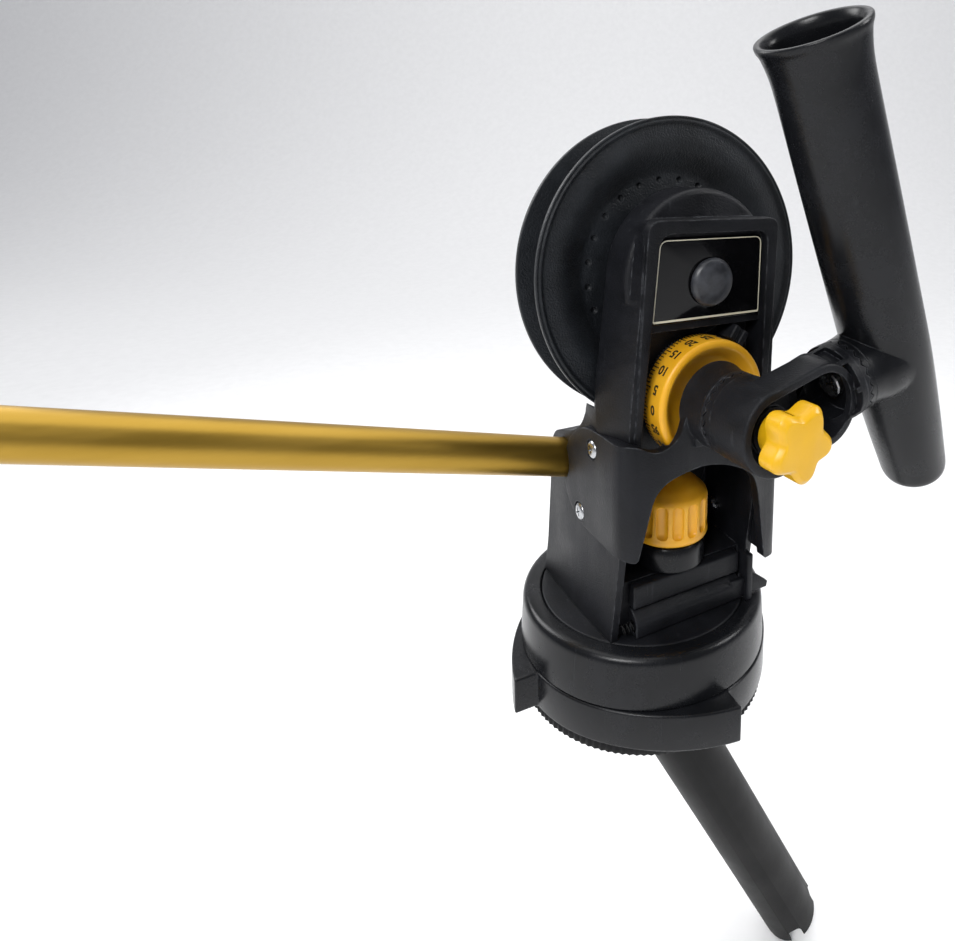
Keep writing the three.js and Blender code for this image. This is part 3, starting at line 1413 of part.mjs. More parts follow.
// Housing and what is fixed to it, which swivel together
const body = group(downrigger, 0, 0, deck);
piece(body, 'turntable', turntable(), 'nylon');
footScrewPlaces().forEach(([x, y], i) => {
  piece(body, `foot_screw_${i + 1}`, footScrew(), 'steel').position.set(x, y, 0);
});
piece(body, 'housing', housing(), 'nylon');
piece(body, 'latch_guide', latchGuide(), 'nylon');
piece(body, 'release_latch', releaseLatch(), 'nylon');
piece(body, 'latch_spring', latchSpring(), 'steel');
piece(body, 'saddle_bracket', saddleBracket(), 'nylon');
cheekPlaces().forEach(([side, y, z], i) => {
  piece(body, `cheek_screw_${i + 1}`, cheekScrew(side), 'steel').position.set(0, y, z);
  piece(body, `cheek_nut_${i + 1}`, cheekNut(side, y), 'steel').position.set(0, y, z);
});
const lock = group(body, 0, lock_y, 0);
piece(lock, 'knob_collar', knobCollar(), 'nylon');
piece(lock, 'lock_knob', lockKnob(), 'amber');
piece(lock, 'lock_stud', lockStud(), 'steel');
piece(body, 'name_plate', namePlate(), 'gloss');

// Spool line: everything on the axle
const reel = group(body, 0, 0, spool_height);
piece(reel, 'axle_cap', axleCap(), 'button');
piece(reel, 'spool_axle', spoolAxle(), 'steel');
piece(reel, 'spool', spool(), 'nylon');
piece(reel, 'front_bush', frontBush(), 'brass');
piece(reel, 'back_bush', backBush(), 'brass');
piece(reel, 'counter_finger', counterFinger(), 'steel');
piece(reel, 'drag_washer', dragWasher(), 'button');
piece(reel, 'crank_arm', crankArm(), 'alloy');
piece(reel, 'crank_pin', crankPin(), 'steel').position.set(crank_radius, 0, 0);
piece(reel, 'crank_grip', crankGrip(), 'nylon').position.set(crank_radius, 0, 0);
piece(reel, 'drag_knob', dragKnob(), 'nylon');

// Depth counter
const counter = group(body, 0, 0, dial_height);
piece(counter, 'depth_dial', depthDial(), 'amber');
piece(counter, 'counter_wheel', counterWheel(), 'button');
piece(counter, 'dial_screw', dialScrew(), 'steel');
piece(counter, 'index_pointer', indexPointer(), 'nylon');

// Rod holder line: bolt, elbow, knob and tube
const clamp = group(body, 0, 0, saddle_height);
piece(clamp, 'elbow_bolt', elbowBolt(), 'steel');
const arm = group(clamp, 0, -boss_front, 0);
piece(arm, 'star_knob', starKnob(), 'lemon');
const turned_arm = group(arm);
turned_arm.rotation.y = -elbow_rest;
piece(turned_arm, 'elbow', elbow(), 'nylon');
piece(turned_arm, 'elbow_washer', elbowWasher(), 'steel');
const neck = group(turned_arm, 0, -neck_depth, 0);
piece(neck, 'rod_holder', rodHolder(), 'nylon');
piece(neck, 'neck_bolt', neckBolt(), 'steel');
piece(neck, 'neck_nut', neckNut(), 'steel');

// Boom
const boom = group(body, boom_x, boom_y, boom_z);
boom.rotation.y = boom_tilt - Math.PI / 2;
piece(boom, 'boom_tube', boomTube(), 'gold');
piece(boom, 'boom_head', boomHead(), 'nylon');
piece(boom, 'boom_pulley', boomPulley(), 'button').position.set(0, 0, pulley_centre);
piece(boom, 'pulley_pin', pulleyPin(), 'steel').position.set(0, 0, pulley_centre);
piece(body, 'boom_clamp_screw', boomClampScrew(), 'steel');

export default downrigger;
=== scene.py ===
"""Dresses the packed downrigger: most visible pieces are modelled finely, the rest keep their CAD shape, and
all are finished and lit.
"""

import json
import logging
import math
from dataclasses import dataclass, field
from enum import Enum
from typing import Callable, Sequence

import bpy
from mathutils import Matrix, Vector

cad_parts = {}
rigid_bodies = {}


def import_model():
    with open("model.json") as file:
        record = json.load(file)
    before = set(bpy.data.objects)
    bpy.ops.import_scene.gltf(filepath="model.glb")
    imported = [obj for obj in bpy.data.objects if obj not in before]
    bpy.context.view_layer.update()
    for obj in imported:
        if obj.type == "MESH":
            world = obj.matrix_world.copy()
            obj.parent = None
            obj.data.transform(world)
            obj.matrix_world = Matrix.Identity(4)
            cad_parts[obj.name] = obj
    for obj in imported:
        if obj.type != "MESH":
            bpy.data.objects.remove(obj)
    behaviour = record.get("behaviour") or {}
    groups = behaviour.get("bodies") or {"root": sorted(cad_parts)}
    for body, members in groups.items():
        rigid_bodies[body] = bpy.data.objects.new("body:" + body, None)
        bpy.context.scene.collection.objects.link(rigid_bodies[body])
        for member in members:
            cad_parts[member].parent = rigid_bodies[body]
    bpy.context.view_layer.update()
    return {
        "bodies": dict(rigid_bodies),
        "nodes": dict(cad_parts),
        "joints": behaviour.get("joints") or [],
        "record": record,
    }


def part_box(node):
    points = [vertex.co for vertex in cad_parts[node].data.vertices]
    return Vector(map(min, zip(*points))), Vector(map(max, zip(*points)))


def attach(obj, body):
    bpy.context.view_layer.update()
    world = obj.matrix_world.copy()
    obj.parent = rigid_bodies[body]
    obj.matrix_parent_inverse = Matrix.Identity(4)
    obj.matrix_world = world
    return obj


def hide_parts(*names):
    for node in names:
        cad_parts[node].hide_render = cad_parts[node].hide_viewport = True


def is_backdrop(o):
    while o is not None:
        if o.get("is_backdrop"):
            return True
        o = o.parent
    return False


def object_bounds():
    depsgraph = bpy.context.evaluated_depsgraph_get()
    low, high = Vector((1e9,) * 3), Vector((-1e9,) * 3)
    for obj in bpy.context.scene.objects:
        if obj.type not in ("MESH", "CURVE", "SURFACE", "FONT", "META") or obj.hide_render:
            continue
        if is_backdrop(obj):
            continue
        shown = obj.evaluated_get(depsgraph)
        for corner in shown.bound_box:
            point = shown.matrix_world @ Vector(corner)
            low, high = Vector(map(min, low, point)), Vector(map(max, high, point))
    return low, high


log = logging.getLogger("downrigger")
Point = tuple[float, ...]
Piece = bpy.types.Object
Tree = bpy.types.NodeTree
Socket = bpy.types.NodeSocket
MM = 0.001
DECK = 60.0
SPOOL_HEIGHT = 187.4
DIAL_HEIGHT = 126.6
BOSS_FRONT = 84.0
BOOM_ROOT = (-43.0, 8.0, 80.7)
BOOM_TILT = math.radians(14.3)
CROWN_TEETH = 24
CROWN_DEPTH = 2.0
BOLT_ROOM = 4.3
WELD = 0.0008


class Operation(Enum):
    """What a boolean does with its tool."""

    CUT = "DIFFERENCE"
    JOIN = "UNION"
    MEET = "INTERSECT"


CUT, JOIN, MEET = Operation


# Places: where the pieces' own frames are, and how an axis is turned

def at(x: float, y: float, z: float) -> Matrix:
    """Gives the matrix that moves by x, y and z."""
    return Matrix.Translation((x, y, z))


def spun(axis: str, angle: float) -> Matrix:
    """Gives the matrix that turns about an axis through the origin."""
    return Matrix.Rotation(angle, 4, axis)


UPRIGHT = Matrix.Identity(4)
FORWARD = spun("X", math.pi / 2)
SIDEWAYS = Matrix(((0, 0, 1, 0), (1, 0, 0, 0), (0, 1, 0, 0), (0, 0, 0, 1)))
AT_REEL = at(0, 0, SPOOL_HEIGHT)
AT_DIAL = at(0, 0, DIAL_HEIGHT)
SCALE = Matrix.Scale(MM, 4)
BODY = SCALE @ at(0, 0, DECK)
REEL = BODY @ AT_REEL
COUNTER = BODY @ AT_DIAL
BOSS = COUNTER @ at(0, -BOSS_FRONT, 0)
ARM = BOSS @ spun("Y", -math.radians(15))
NECK = ARM @ at(0, -14, 0)
BOOM = BODY @ at(*BOOM_ROOT) @ spun("Y", BOOM_TILT - math.pi / 2)


# Modelling by hand, in millimetres

def activate(obj: Piece) -> None:
    """Selects one object alone and makes it active.

    Args:
        obj: the object.
    """
    bpy.ops.object.select_all(action="DESELECT")
    obj.select_set(True)
    bpy.context.view_layer.objects.active = obj


def in_edit(obj: Piece, *steps: Callable[[], object]) -> None:
    """Runs operators on the whole of a mesh in edit mode.

    Args:
        obj: the mesh object.
        steps: calls without arguments, run in order.
    """
    activate(obj)
    bpy.ops.object.mode_set(mode="EDIT")
    bpy.ops.mesh.select_all(action="SELECT")
    for step in steps:
        step()
    bpy.ops.object.mode_set(mode="OBJECT")


def chain(name: str, points: Sequence[Point]) -> Piece:
    """Draws a line of edges from one vertex by extruding it from point to point.

    Args:
        name: the new object's name.
        points: the line's points.

    Returns:
        The object.
    """
    bpy.ops.object.select_all(action="DESELECT")
    bpy.ops.mesh.primitive_plane_add(size=1)
    obj = bpy.context.object
    obj.name = name
    spots = [Vector(point) for point in points]
    bpy.ops.object.mode_set(mode="EDIT")
    bpy.ops.mesh.merge(type="CENTER")
    bpy.ops.transform.translate(value=spots[0])
    for here, there in zip(spots, spots[1:]):
        bpy.ops.mesh.extrude_region_move(TRANSFORM_OT_translate={"value": there - here})
    bpy.ops.object.mode_set(mode="OBJECT")
    return obj


def outward(obj: Piece) -> None:
    """Merges a mesh's doubles and turns its faces outward."""
    in_edit(obj, lambda: bpy.ops.mesh.remove_doubles(threshold=WELD),
            lambda: bpy.ops.mesh.normals_make_consistent(inside=False))


def lathe(name: str, profile: Sequence[Point], steps: int = 96,
          facing: Matrix = UPRIGHT) -> Piece:
    """Spins a profile of radius and height about its axis.

    Args:
        name: the new object's name.
        profile: points of radius and height; one that starts off the axis is closed into a ring.
        steps: how many steps make a full turn.
        facing: turns the axis from +Z to where it belongs.

    Returns:
        The turned solid.
    """
    line = [(radius, 0, height) for radius, height in profile]
    if profile[0][0] > 0:
        line.append(line[0])
    obj = chain(name, line)
    in_edit(obj, lambda: bpy.ops.mesh.spin(steps=steps, angle=2 * math.pi, center=(0, 0, 0), axis=(0, 0, 1)))
    outward(obj)
    return moved(obj, facing)


def prism(name: str, points: Sequence[Point], low: float, high: float,
          facing: Matrix = UPRIGHT) -> Piece:
    """Fills an outline and extrudes it.

    Args:
        name: the new object's name.
        points: the outline's points.
        low: where the extrusion starts.
        high: where it ends.
        facing: turns the extrusion from +Z to where it belongs.

    Returns:
        The extruded solid.
    """
    obj = chain(name, [(x, y, low) for x, y in points])
    in_edit(obj, bpy.ops.mesh.edge_face_add,
            lambda: bpy.ops.mesh.extrude_region_move(TRANSFORM_OT_translate={"value": (0, 0, high - low)}))
    outward(obj)
    return moved(obj, facing)


def loft(name: str, rings: Sequence[tuple[Sequence[Point], float]],
         facing: Matrix = UPRIGHT) -> Piece:
    """Bridges outlines that have as many points each into a solid.

    Args:
        name: the new object's name.
        rings: each outline with its height, from one end to the other.
        facing: turns the solid from +Z to where it belongs.

    Returns:
        The closed solid.
    """
    loops = [chain(name, [(x, y, height) for x, y in (*outline, outline[0])]) for outline, height in rings]
    solid = together(*loops)
    in_edit(solid, lambda: bpy.ops.mesh.remove_doubles(threshold=WELD), bpy.ops.mesh.bridge_edge_loops,
            lambda: bpy.ops.mesh.select_all(action="SELECT"), lambda: bpy.ops.mesh.fill_holes(sides=0))
    outward(solid)
    return moved(solid, facing)


def rod(radius: float, low: float, high: float, steps: int = 48,
        facing: Matrix = UPRIGHT) -> Piece:
    """A plain round bar, used as a tool that cuts or joins.

    Args:
        radius: its radius.
        low: its lower end.
        high: its upper end.
        steps: how many sides it has.
        facing: turns it from +Z to where it belongs.

    Returns:
        The bar.
    """
    bpy.ops.object.select_all(action="DESELECT")
    bpy.ops.mesh.primitive_cylinder_add(vertices=steps, radius=radius, depth=high - low,
                                        location=(0, 0, (low + high) / 2))
    return moved(bpy.context.object, facing)


def block(left: float, right: float, front: float, back: float, low: float, high: float) -> Piece:
    """A plain box between six faces, used as a tool that cuts or joins.

    Args:
        left, right, front, back, low, high: where its faces are.

    Returns:
        The box.
    """
    bpy.ops.object.select_all(action="DESELECT")
    bpy.ops.mesh.primitive_cube_add(size=1, scale=(right - left, back - front, high - low),
                                    location=((left + right) / 2, (front + back) / 2, (low + high) / 2))
    return moved(bpy.context.object, UPRIGHT)


def moved(obj: Piece, matrix: Matrix) -> Piece:
    """Moves an object and applies its place to its mesh.

    Args:
        obj: the object.
        matrix: where it goes, after where it is.

    Returns:
        The same object.
    """
    activate(obj)
    obj.matrix_world = matrix @ obj.matrix_world
    bpy.ops.object.transform_apply(location=True, rotation=True, scale=True)
    return obj


def shaped(obj: Piece, how: Operation, *tools: Piece) -> Piece:
    """Cuts, joins or meets an object with tools, which are used up.

    Args:
        obj: the object.
        how: the operation.
        tools: the other solids.

    Returns:
        The same object.
    """
    for tool in tools:
        change = obj.modifiers.new(how.value, "BOOLEAN")
        change.operation, change.object, change.solver = how.value, tool, "EXACT"
        activate(obj)
        bpy.ops.object.modifier_apply(modifier=change.name)
        bpy.data.objects.remove(tool)
    return obj


def bevelled(obj: Piece, width: float, segments: int = 3, angle: float = 32) -> Piece:
    """Rounds the edges that are sharper than an angle.

    Args:
        obj: the object.
        width: how wide the rounding is.
        segments: how many faces it has.
        angle: the least angle of an edge that is rounded, in degrees.

    Returns:
        The same object.
    """
    change = obj.modifiers.new("round", "BEVEL")
    change.width, change.segments, change.limit_method = width, segments, "ANGLE"
    change.angle_limit = math.radians(angle)
    change.miter_outer = "MITER_ARC"
    activate(obj)
    bpy.ops.object.modifier_apply(modifier=change.name)
    return obj


def rounded(points: Sequence[Point], radii: Sequence[float] | float, steps: int = 5,
            closed: bool = True) -> list[Point]:
    """Rounds an outline's corners.

    Args:
        points: the corners.
        radii: how far each corner's rounding reaches, or one reach for all.
        steps: how many edges a rounding has.
        closed: whether the last point joins the first.

    Returns:
        The outline's points.
    """
    spots = [Vector(point) for point in points]
    made: list[Point] = []
    for i, corner in enumerate(spots):
        reach = radii if isinstance(radii, (int, float)) else radii[i]
        ends = not closed and i in (0, len(spots) - 1)
        if reach <= 0 or ends:
            made.append(tuple(corner))
            continue
        before, after = spots[i - 1] - corner, spots[(i + 1) % len(spots)] - corner
        reach = min(reach, before.length * 0.499, after.length * 0.499)
        start, end = corner + before.normalized() * reach, corner + after.normalized() * reach
        for step in range(steps + 1):
            share = step / steps
            spot = start * (1 - share) ** 2 + corner * (2 * share * (1 - share)) + end * share ** 2
            made.append(tuple(spot))
    return made


def on_circle(radius: float, angle: float) -> Point:
    """Gives the point at an angle on a circle round the origin."""
    return radius * math.cos(angle), radius * math.sin(angle)


def polar(count: int, radius_at: Callable[[float], float], start: float = 0) -> list[Point]:
    """Gives an outline whose radius depends on the share of a turn."""
    return [on_circle(radius_at(i / count), start + i / count * 2 * math.pi) for i in range(count)]


def mirrored(half: Sequence[Point]) -> list[Point]:
    """Follows one side of an outline with its mirror image, back to where it began."""
    return [*half, *[(-x, y) for x, y in reversed(half)]]


def around(make: Callable[[], Piece], count: int, axis: str = "Z",
           start: float = 0) -> Piece:
    """Models a shape once, copies it round an axis and joins the copies.

    Args:
        make: makes the first one.
        count: how many there are.
        axis: the axis they go round.
        start: the first one's angle.

    Returns:
        One object with all of them.
    """
    first = moved(make(), spun(axis, start))
    copies = [duplicate(first, spun(axis, i / count * 2 * math.pi)) for i in range(1, count)]
    return together(first, *copies)


def duplicate(obj: Piece, matrix: Matrix) -> Piece:
    """Copies an object with a mesh of its own.

    Args:
        obj: the object.
        matrix: where the copy goes.

    Returns:
        The copy.
    """
    copy = obj.copy()
    copy.data = obj.data.copy()
    bpy.context.scene.collection.objects.link(copy)
    return moved(copy, matrix)


def together(first: Piece, *others: Piece) -> Piece:
    """Joins objects into one without changing their shapes.

    Args:
        first: the object that stays.
        others: the ones that go into it.

    Returns:
        The first object.
    """
    activate(first)
    for other in others:
        other.select_set(True)
    if others:
        bpy.ops.object.join()
    return first


def from_solid(node: str, width: float, segments: int = 3) -> Piece:
    """Starts a piece from a copy of a CAD solid, with flat faces made whole and edges rounded.

    Args:
        node: the CAD node.
        width: how wide the rounding is, in millimetres.
        segments: how many faces the rounding has.

    Returns:
        The new object, in millimetres.
    """
    source = bpy.data.objects[node]
    copy = source.copy()
    copy.data = source.data.copy()
    for key in list(copy.keys()):
        del copy[key]
    copy.parent = None
    copy.name = f"{node}_piece"
    copy.hide_render = copy.hide_viewport = False
    copy.data.materials.clear()
    bpy.context.scene.collection.objects.link(copy)
    moved(copy, SCALE.inverted())
    in_edit(copy, lambda: bpy.ops.mesh.remove_doubles(threshold=0.002),
            lambda: bpy.ops.mesh.dissolve_limited(angle_limit=math.radians(0.6)))
    return bevelled(copy, width, segments)


def crown(radius: float, bore: float, crest: float, foot: float) -> Piece:
    """Models a ring of radial teeth: a zigzag line is extruded inward, down and out again.

    Args:
        radius: the ring's radius.
        bore: its bore.
        crest: the middle of the teeth.
        foot: the ring's flat end.

    Returns:
        The ring, closed.
    """
    heights = [crest + (-0.5 if i % 2 else 0.5) * CROWN_DEPTH for i in range(2 * CROWN_TEETH + 1)]
    band = chain("crown", [(*on_circle(radius, i / CROWN_TEETH * math.pi), z) for i, z in enumerate(heights)])
    middle, inward, outer = (0, 0, 0), bore / radius, radius / bore
    in_edit(band, lambda: bpy.ops.mesh.remove_doubles(threshold=0.001), bpy.ops.mesh.extrude_region_move,
            lambda: bpy.ops.transform.resize(value=(inward, inward, 1), center_override=middle),
            bpy.ops.mesh.extrude_region_move,
            lambda: bpy.ops.transform.resize(value=(1, 1, 0), center_override=(0, 0, foot)),
            bpy.ops.mesh.extrude_region_move,
            lambda: bpy.ops.transform.resize(value=(outer, outer, 1), center_override=middle),
            lambda: bpy.ops.mesh.select_all(action="DESELECT"),
            bpy.ops.mesh.select_non_manifold,
            bpy.ops.mesh.bridge_edge_loops,
            lambda: bpy.ops.mesh.select_all(action="SELECT"),
            lambda: bpy.ops.mesh.normals_make_consistent(inside=False))
    return band


# Finishes

def colour(code: str) -> tuple[float, float, float, float]:
    """Turns an sRGB hex colour to linear red, green, blue and alpha."""
    parts = [int(code[i:i + 2], 16) / 255 for i in (0, 2, 4)]
    return (*[p / 12.92 if p <= 0.04045 else ((p + 0.055) / 1.055) ** 2.4 for p in parts], 1.0)


def add_node(tree: Tree, kind: str, settings: dict | None = None,
             **links: object) -> bpy.types.Node:
    """Adds a shader node with its settings and what goes into it.

    Args:
        tree: the material's node tree.
        kind: the node's type without its ShaderNode start.
        settings: attributes of the node.
        links: sockets by name, or in1, in2 by number, each a value or another node's output.

    Returns:
        The node.
    """
    node = tree.nodes.new("ShaderNode" + kind)
    for key, value in (settings or {}).items():
        setattr(node, key, value)
    for key, value in links.items():
        socket = node.inputs[int(key[2:])] if key[:2] == "in" and key[2:].isdigit() else \
            node.inputs[key.replace("_", " ")]
        if isinstance(value, Socket):
            tree.links.new(value, socket)
        else:
            socket.default_value = value
    return node


def ramp(tree: Tree, source: Socket, low: float, high: float,
         start: object, end: object) -> Socket:
    """Turns a pattern into a value or colour between two ends.

    Args:
        tree: the material's node tree.
        source: the pattern.
        low: the pattern's value where the change starts.
        high: the value where it ends.
        start: the value or colour below it.
        end: the value or colour above it.

    Returns:
        The output socket.
    """
    share = add_node(tree, "MapRange", {"clamp": True}, in0=source, in1=low, in2=high, in3=0.0, in4=1.0)
    if isinstance(start, tuple):
        mixed = add_node(tree, "Mix", {"data_type": "RGBA"}, in0=share.outputs[0], in6=start, in7=end)
        return mixed.outputs[2]
    return add_node(tree, "MapRange", None, in0=share.outputs[0], in1=0.0, in2=1.0, in3=start,
                    in4=end).outputs[0]


@dataclass(frozen=True)
class Finish:
    """A material made of a base, a fine grain, slow patches and worn edges.

    The patterns' sizes are in millimetres on the real piece.
    """

    name: str
    base: str
    varied: str
    rough: tuple[float, float] = (0.4, 0.55)
    metal: float = 0.0
    coat: float = 0.0
    grain_mm: float = 0.5
    grain_depth: float = 0.06
    patch_mm: float = 28.0
    stretch: tuple[float, float, float] = (1, 1, 1)
    worn: str | None = None
    worn_share: float = 0.0
    glow: float = 0.0
    turn: tuple[float, float, float] = (0, 0, 0)
    extra: dict = field(default_factory=dict)

    def material(self) -> bpy.types.Material:
        """Makes the material, or gives the one already made.

        Returns:
            The material.
        """
        made = bpy.data.materials.get(self.name)
        if made:
            return made
        made = bpy.data.materials.new(self.name)
        made.use_nodes = True
        tree = made.node_tree
        shader = tree.nodes["Principled BSDF"]
        place = add_node(tree, "TexCoord").outputs["Object"]
        turned = add_node(tree, "Mapping", None, Vector=place, Rotation=self.turn, Scale=self.stretch)
        where = turned.outputs[0]
        patch = add_node(tree, "TexNoise", None, Vector=where, Scale=1 / (self.patch_mm * MM), Detail=4.0,
                         Roughness=0.6).outputs[0]
        grain = add_node(tree, "TexNoise", None, Vector=where, Scale=1 / (self.grain_mm * MM), Detail=3.0,
                         Roughness=0.55).outputs[0]
        tint = ramp(tree, patch, 0.35, 0.68, colour(self.base), colour(self.varied))
        edge = None
        if self.worn:
            edge = add_node(tree, "Bevel", {"samples": 4}, Radius=0.0009).outputs[0]
            tint = self.wear(tree, place, tint, edge)
        tree.links.new(tint, shader.inputs["Base Color"])
        mixed = add_node(tree, "Math", {"operation": "MULTIPLY_ADD"}, in0=grain, in1=0.35, in2=patch)
        tree.links.new(ramp(tree, mixed.outputs[0], 0.4, 0.9, self.rough[0], self.rough[1]),
                       shader.inputs["Roughness"])
        bump = add_node(tree, "Bump", None, Strength=self.grain_depth, Distance=self.grain_mm * MM * 0.5,
                        Height=grain)
        if edge:
            tree.links.new(edge, bump.inputs["Normal"])
        tree.links.new(bump.outputs[0], shader.inputs["Normal"])
        shader.inputs["Metallic"].default_value = self.metal
        shader.inputs["Coat Weight"].default_value = self.coat
        shader.inputs["Coat Roughness"].default_value = 0.06
        if self.glow:
            shader.inputs["Subsurface Weight"].default_value = self.glow
            shader.inputs["Subsurface Radius"].default_value = (0.004, 0.002, 0.0006)
            shader.inputs["Subsurface Scale"].default_value = 1.0
        for key, value in self.extra.items():
            shader.inputs[key].default_value = value
        return made

    def wear(self, tree: Tree, place: Socket, tint: Socket,
             edge: Socket) -> Socket:
        """Lightens edges and leaves faint rubbed streaks.

        Args:
            tree: the material's node tree.
            place: object coordinates.
            tint: the colour without wear.
            edge: the normal with rounded edges.

        Returns:
            The colour with wear.
        """
        flat = add_node(tree, "NewGeometry").outputs["Normal"]
        turn = add_node(tree, "VectorMath", {"operation": "DOT_PRODUCT"}, in0=edge, in1=flat)
        broken = add_node(tree, "TexNoise", None, Vector=place, Scale=170.0, Detail=5.0, Roughness=0.7)
        sharp = ramp(tree, turn.outputs["Value"], 0.985, 0.90, 0.0, 1.0)
        rubbed = ramp(tree, broken.outputs[0], 0.46, 0.66, 0.0, self.worn_share)
        amount = add_node(tree, "Math", {"operation": "MULTIPLY"}, in0=sharp, in1=rubbed)
        streak = add_node(tree, "Mapping", None, Vector=place, Scale=(160, 160, 16))
        line = add_node(tree, "TexNoise", None, Vector=streak.outputs[0], Scale=1.0, Detail=6.0, Roughness=0.75)
        faint = ramp(tree, line.outputs[0], 0.60, 0.74, 0.0, self.worn_share * 0.22)
        total = add_node(tree, "Math", {"operation": "MAXIMUM"}, in0=amount.outputs[0], in1=faint)
        return add_node(tree, "Mix", {"data_type": "RGBA"}, in0=total.outputs[0], in6=tint,
                        in7=colour(self.worn)).outputs[2]


# Glass-filled nylon, injection moulded: fine grain, cloudy sheen and pale rubbed edges
NYLON = Finish("glass_filled_nylon", "0f1013", "1a1b1f", (0.32, 0.54), grain_mm=0.8, grain_depth=0.5,
               worn="8d9197", worn_share=0.4, extra={"Specular IOR Level": 0.2})
# The same nylon from a polished mould: tighter highlights on the cap and rod holder
NYLON_SATIN = Finish("satin_nylon", "0e0f11", "17181b", (0.16, 0.32), grain_mm=0.7, grain_depth=0.12,
                     worn="8b9095", worn_share=0.14, extra={"Specular IOR Level": 0.24})
# The index plate's nylon: never polished, with its base colour darkened as painted shade for the shadow of the
# ring above it; the elbow washer wears the same painted shade
NYLON_PAINTED_SHADE = Finish("dull_nylon_painted_shade", "0a0a0b", "0f1012", (0.5, 0.7), grain_mm=0.8, grain_depth=0.3,
                    extra={"Specular IOR Level": 0.2})
# Nylon from an eroded mould: the spool's faces carry an even fine texture
NYLON_GRAINED = Finish("grained_nylon", "131518", "202327", (0.34, 0.5), grain_mm=1.0, grain_depth=0.8,
                       worn="8b9095", worn_share=0.12, extra={"Specular IOR Level": 0.3})
# Spring wire, phosphated: dull black steel, kept this dark as painted shade so that the spring reads as the
# shadow beside the latch
SPRING_STEEL_PAINTED_SHADE = Finish("phosphated_spring_steel_painted_shade", "0e0e0f", "161617", (0.45, 0.6), metal=0.6, grain_mm=0.4,
                      grain_depth=0.05)
# Polyester film label with a clear top layer: black and mirror smooth
LABEL = Finish("gloss_film", "060607", "0a0a0c", (0.05, 0.09), coat=0.15, grain_mm=2.0, grain_depth=0.01,
               extra={"Specular IOR Level": 0.25})
# Vinyl ink border on the label: cream, slightly uneven
LABEL_EDGE = Finish("cream_print", "dcd7c2", "c9c3a8", (0.25, 0.35), grain_mm=0.8, grain_depth=0.02)
# Acetal coloured right through and moulded: warm yellow amber with a soft inner glow
AMBER = Finish("amber_acetal", "dd9e18", "e9ae2a", (0.3, 0.44), grain_mm=0.7, grain_depth=0.08, glow=0.05)
# The star knob's acetal is lemon yellow, and paler where light falls through its edge
LEMON = Finish("lemon_acetal", "d9a60c", "e3b016", (0.28, 0.42), grain_mm=0.7, grain_depth=0.06, glow=0.06)
# Pad-printed ink: matt black that sits on the dial
INK = Finish("printing_ink", "0b0b0b", "141414", (0.5, 0.65), grain_mm=0.6, grain_depth=0.02)
# Drawn aluminium tube, anodised gold: long fine draw lines and a satin gleam
GOLD = Finish("gold_anodised_aluminium", "a08034", "ad8c3e", (0.34, 0.44), metal=1.0, grain_mm=0.6,
              grain_depth=0.06, patch_mm=18, stretch=(0.05, 1, 1), turn=(0, -BOOM_TILT, 0))
# Aluminium anodised matt black: nearly no sheen, slightly brown where light grazes it
BLACK_ALLOY = Finish("black_anodised_aluminium", "070707", "0b0b0b", (0.42, 0.55), grain_mm=0.7,
                     grain_depth=0.05, extra={"Specular IOR Level": 0.12})
# Stainless steel, cold formed and tumbled: bright with fine random scratches
STEEL = Finish("stainless_steel", "b9bbbd", "a4a6a9", (0.2, 0.34), metal=1.0, grain_mm=0.5, grain_depth=0.05,
               patch_mm=6)
# Bearing brass, turned: yellow and a little dull
BRASS = Finish("turned_brass", "b4924e", "a2813f", (0.3, 0.42), metal=1.0, grain_mm=0.4, grain_depth=0.04,
               patch_mm=8)
# Grey acetal, moulded: pulley and washers, with a waxy sheen
GREY = Finish("grey_acetal_moulding", "3a3c40", "484b50", (0.3, 0.42), grain_mm=0.6, grain_depth=0.08)
# Rubbed dark acetal: the axle cap, a little browner and scuffed by thumbs
CAP = Finish("dark_acetal_cap", "26272b", "3b3d42", (0.28, 0.46), grain_mm=0.9, grain_depth=0.12, patch_mm=5,
             worn="9a9da3", worn_share=0.3)


def finished(obj: Piece, body: str, finish: Finish, place: Matrix = SCALE,
             replaces: Sequence[str] = (), angle: float = 34) -> Piece:
    """Puts a piece in its place, smooths it, gives it its finish and lets it ride.

    Args:
        obj: the modelled piece, in millimetres.
        body: the CAD body that carries it.
        finish: its material.
        place: where it goes.
        replaces: the CAD nodes that it stands for.
        angle: the least angle of an edge that stays sharp, in degrees.

    Returns:
        The piece.
    """
    moved(obj, place)
    activate(obj)
    bpy.ops.object.shade_smooth_by_angle(angle=math.radians(angle))
    obj.data.materials.clear()
    obj.data.materials.append(finish.material())
    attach(obj, body)
    if replaces:
        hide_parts(*replaces)
    log.info("%s: %d faces", obj.name, len(obj.data.polygons))
    return obj


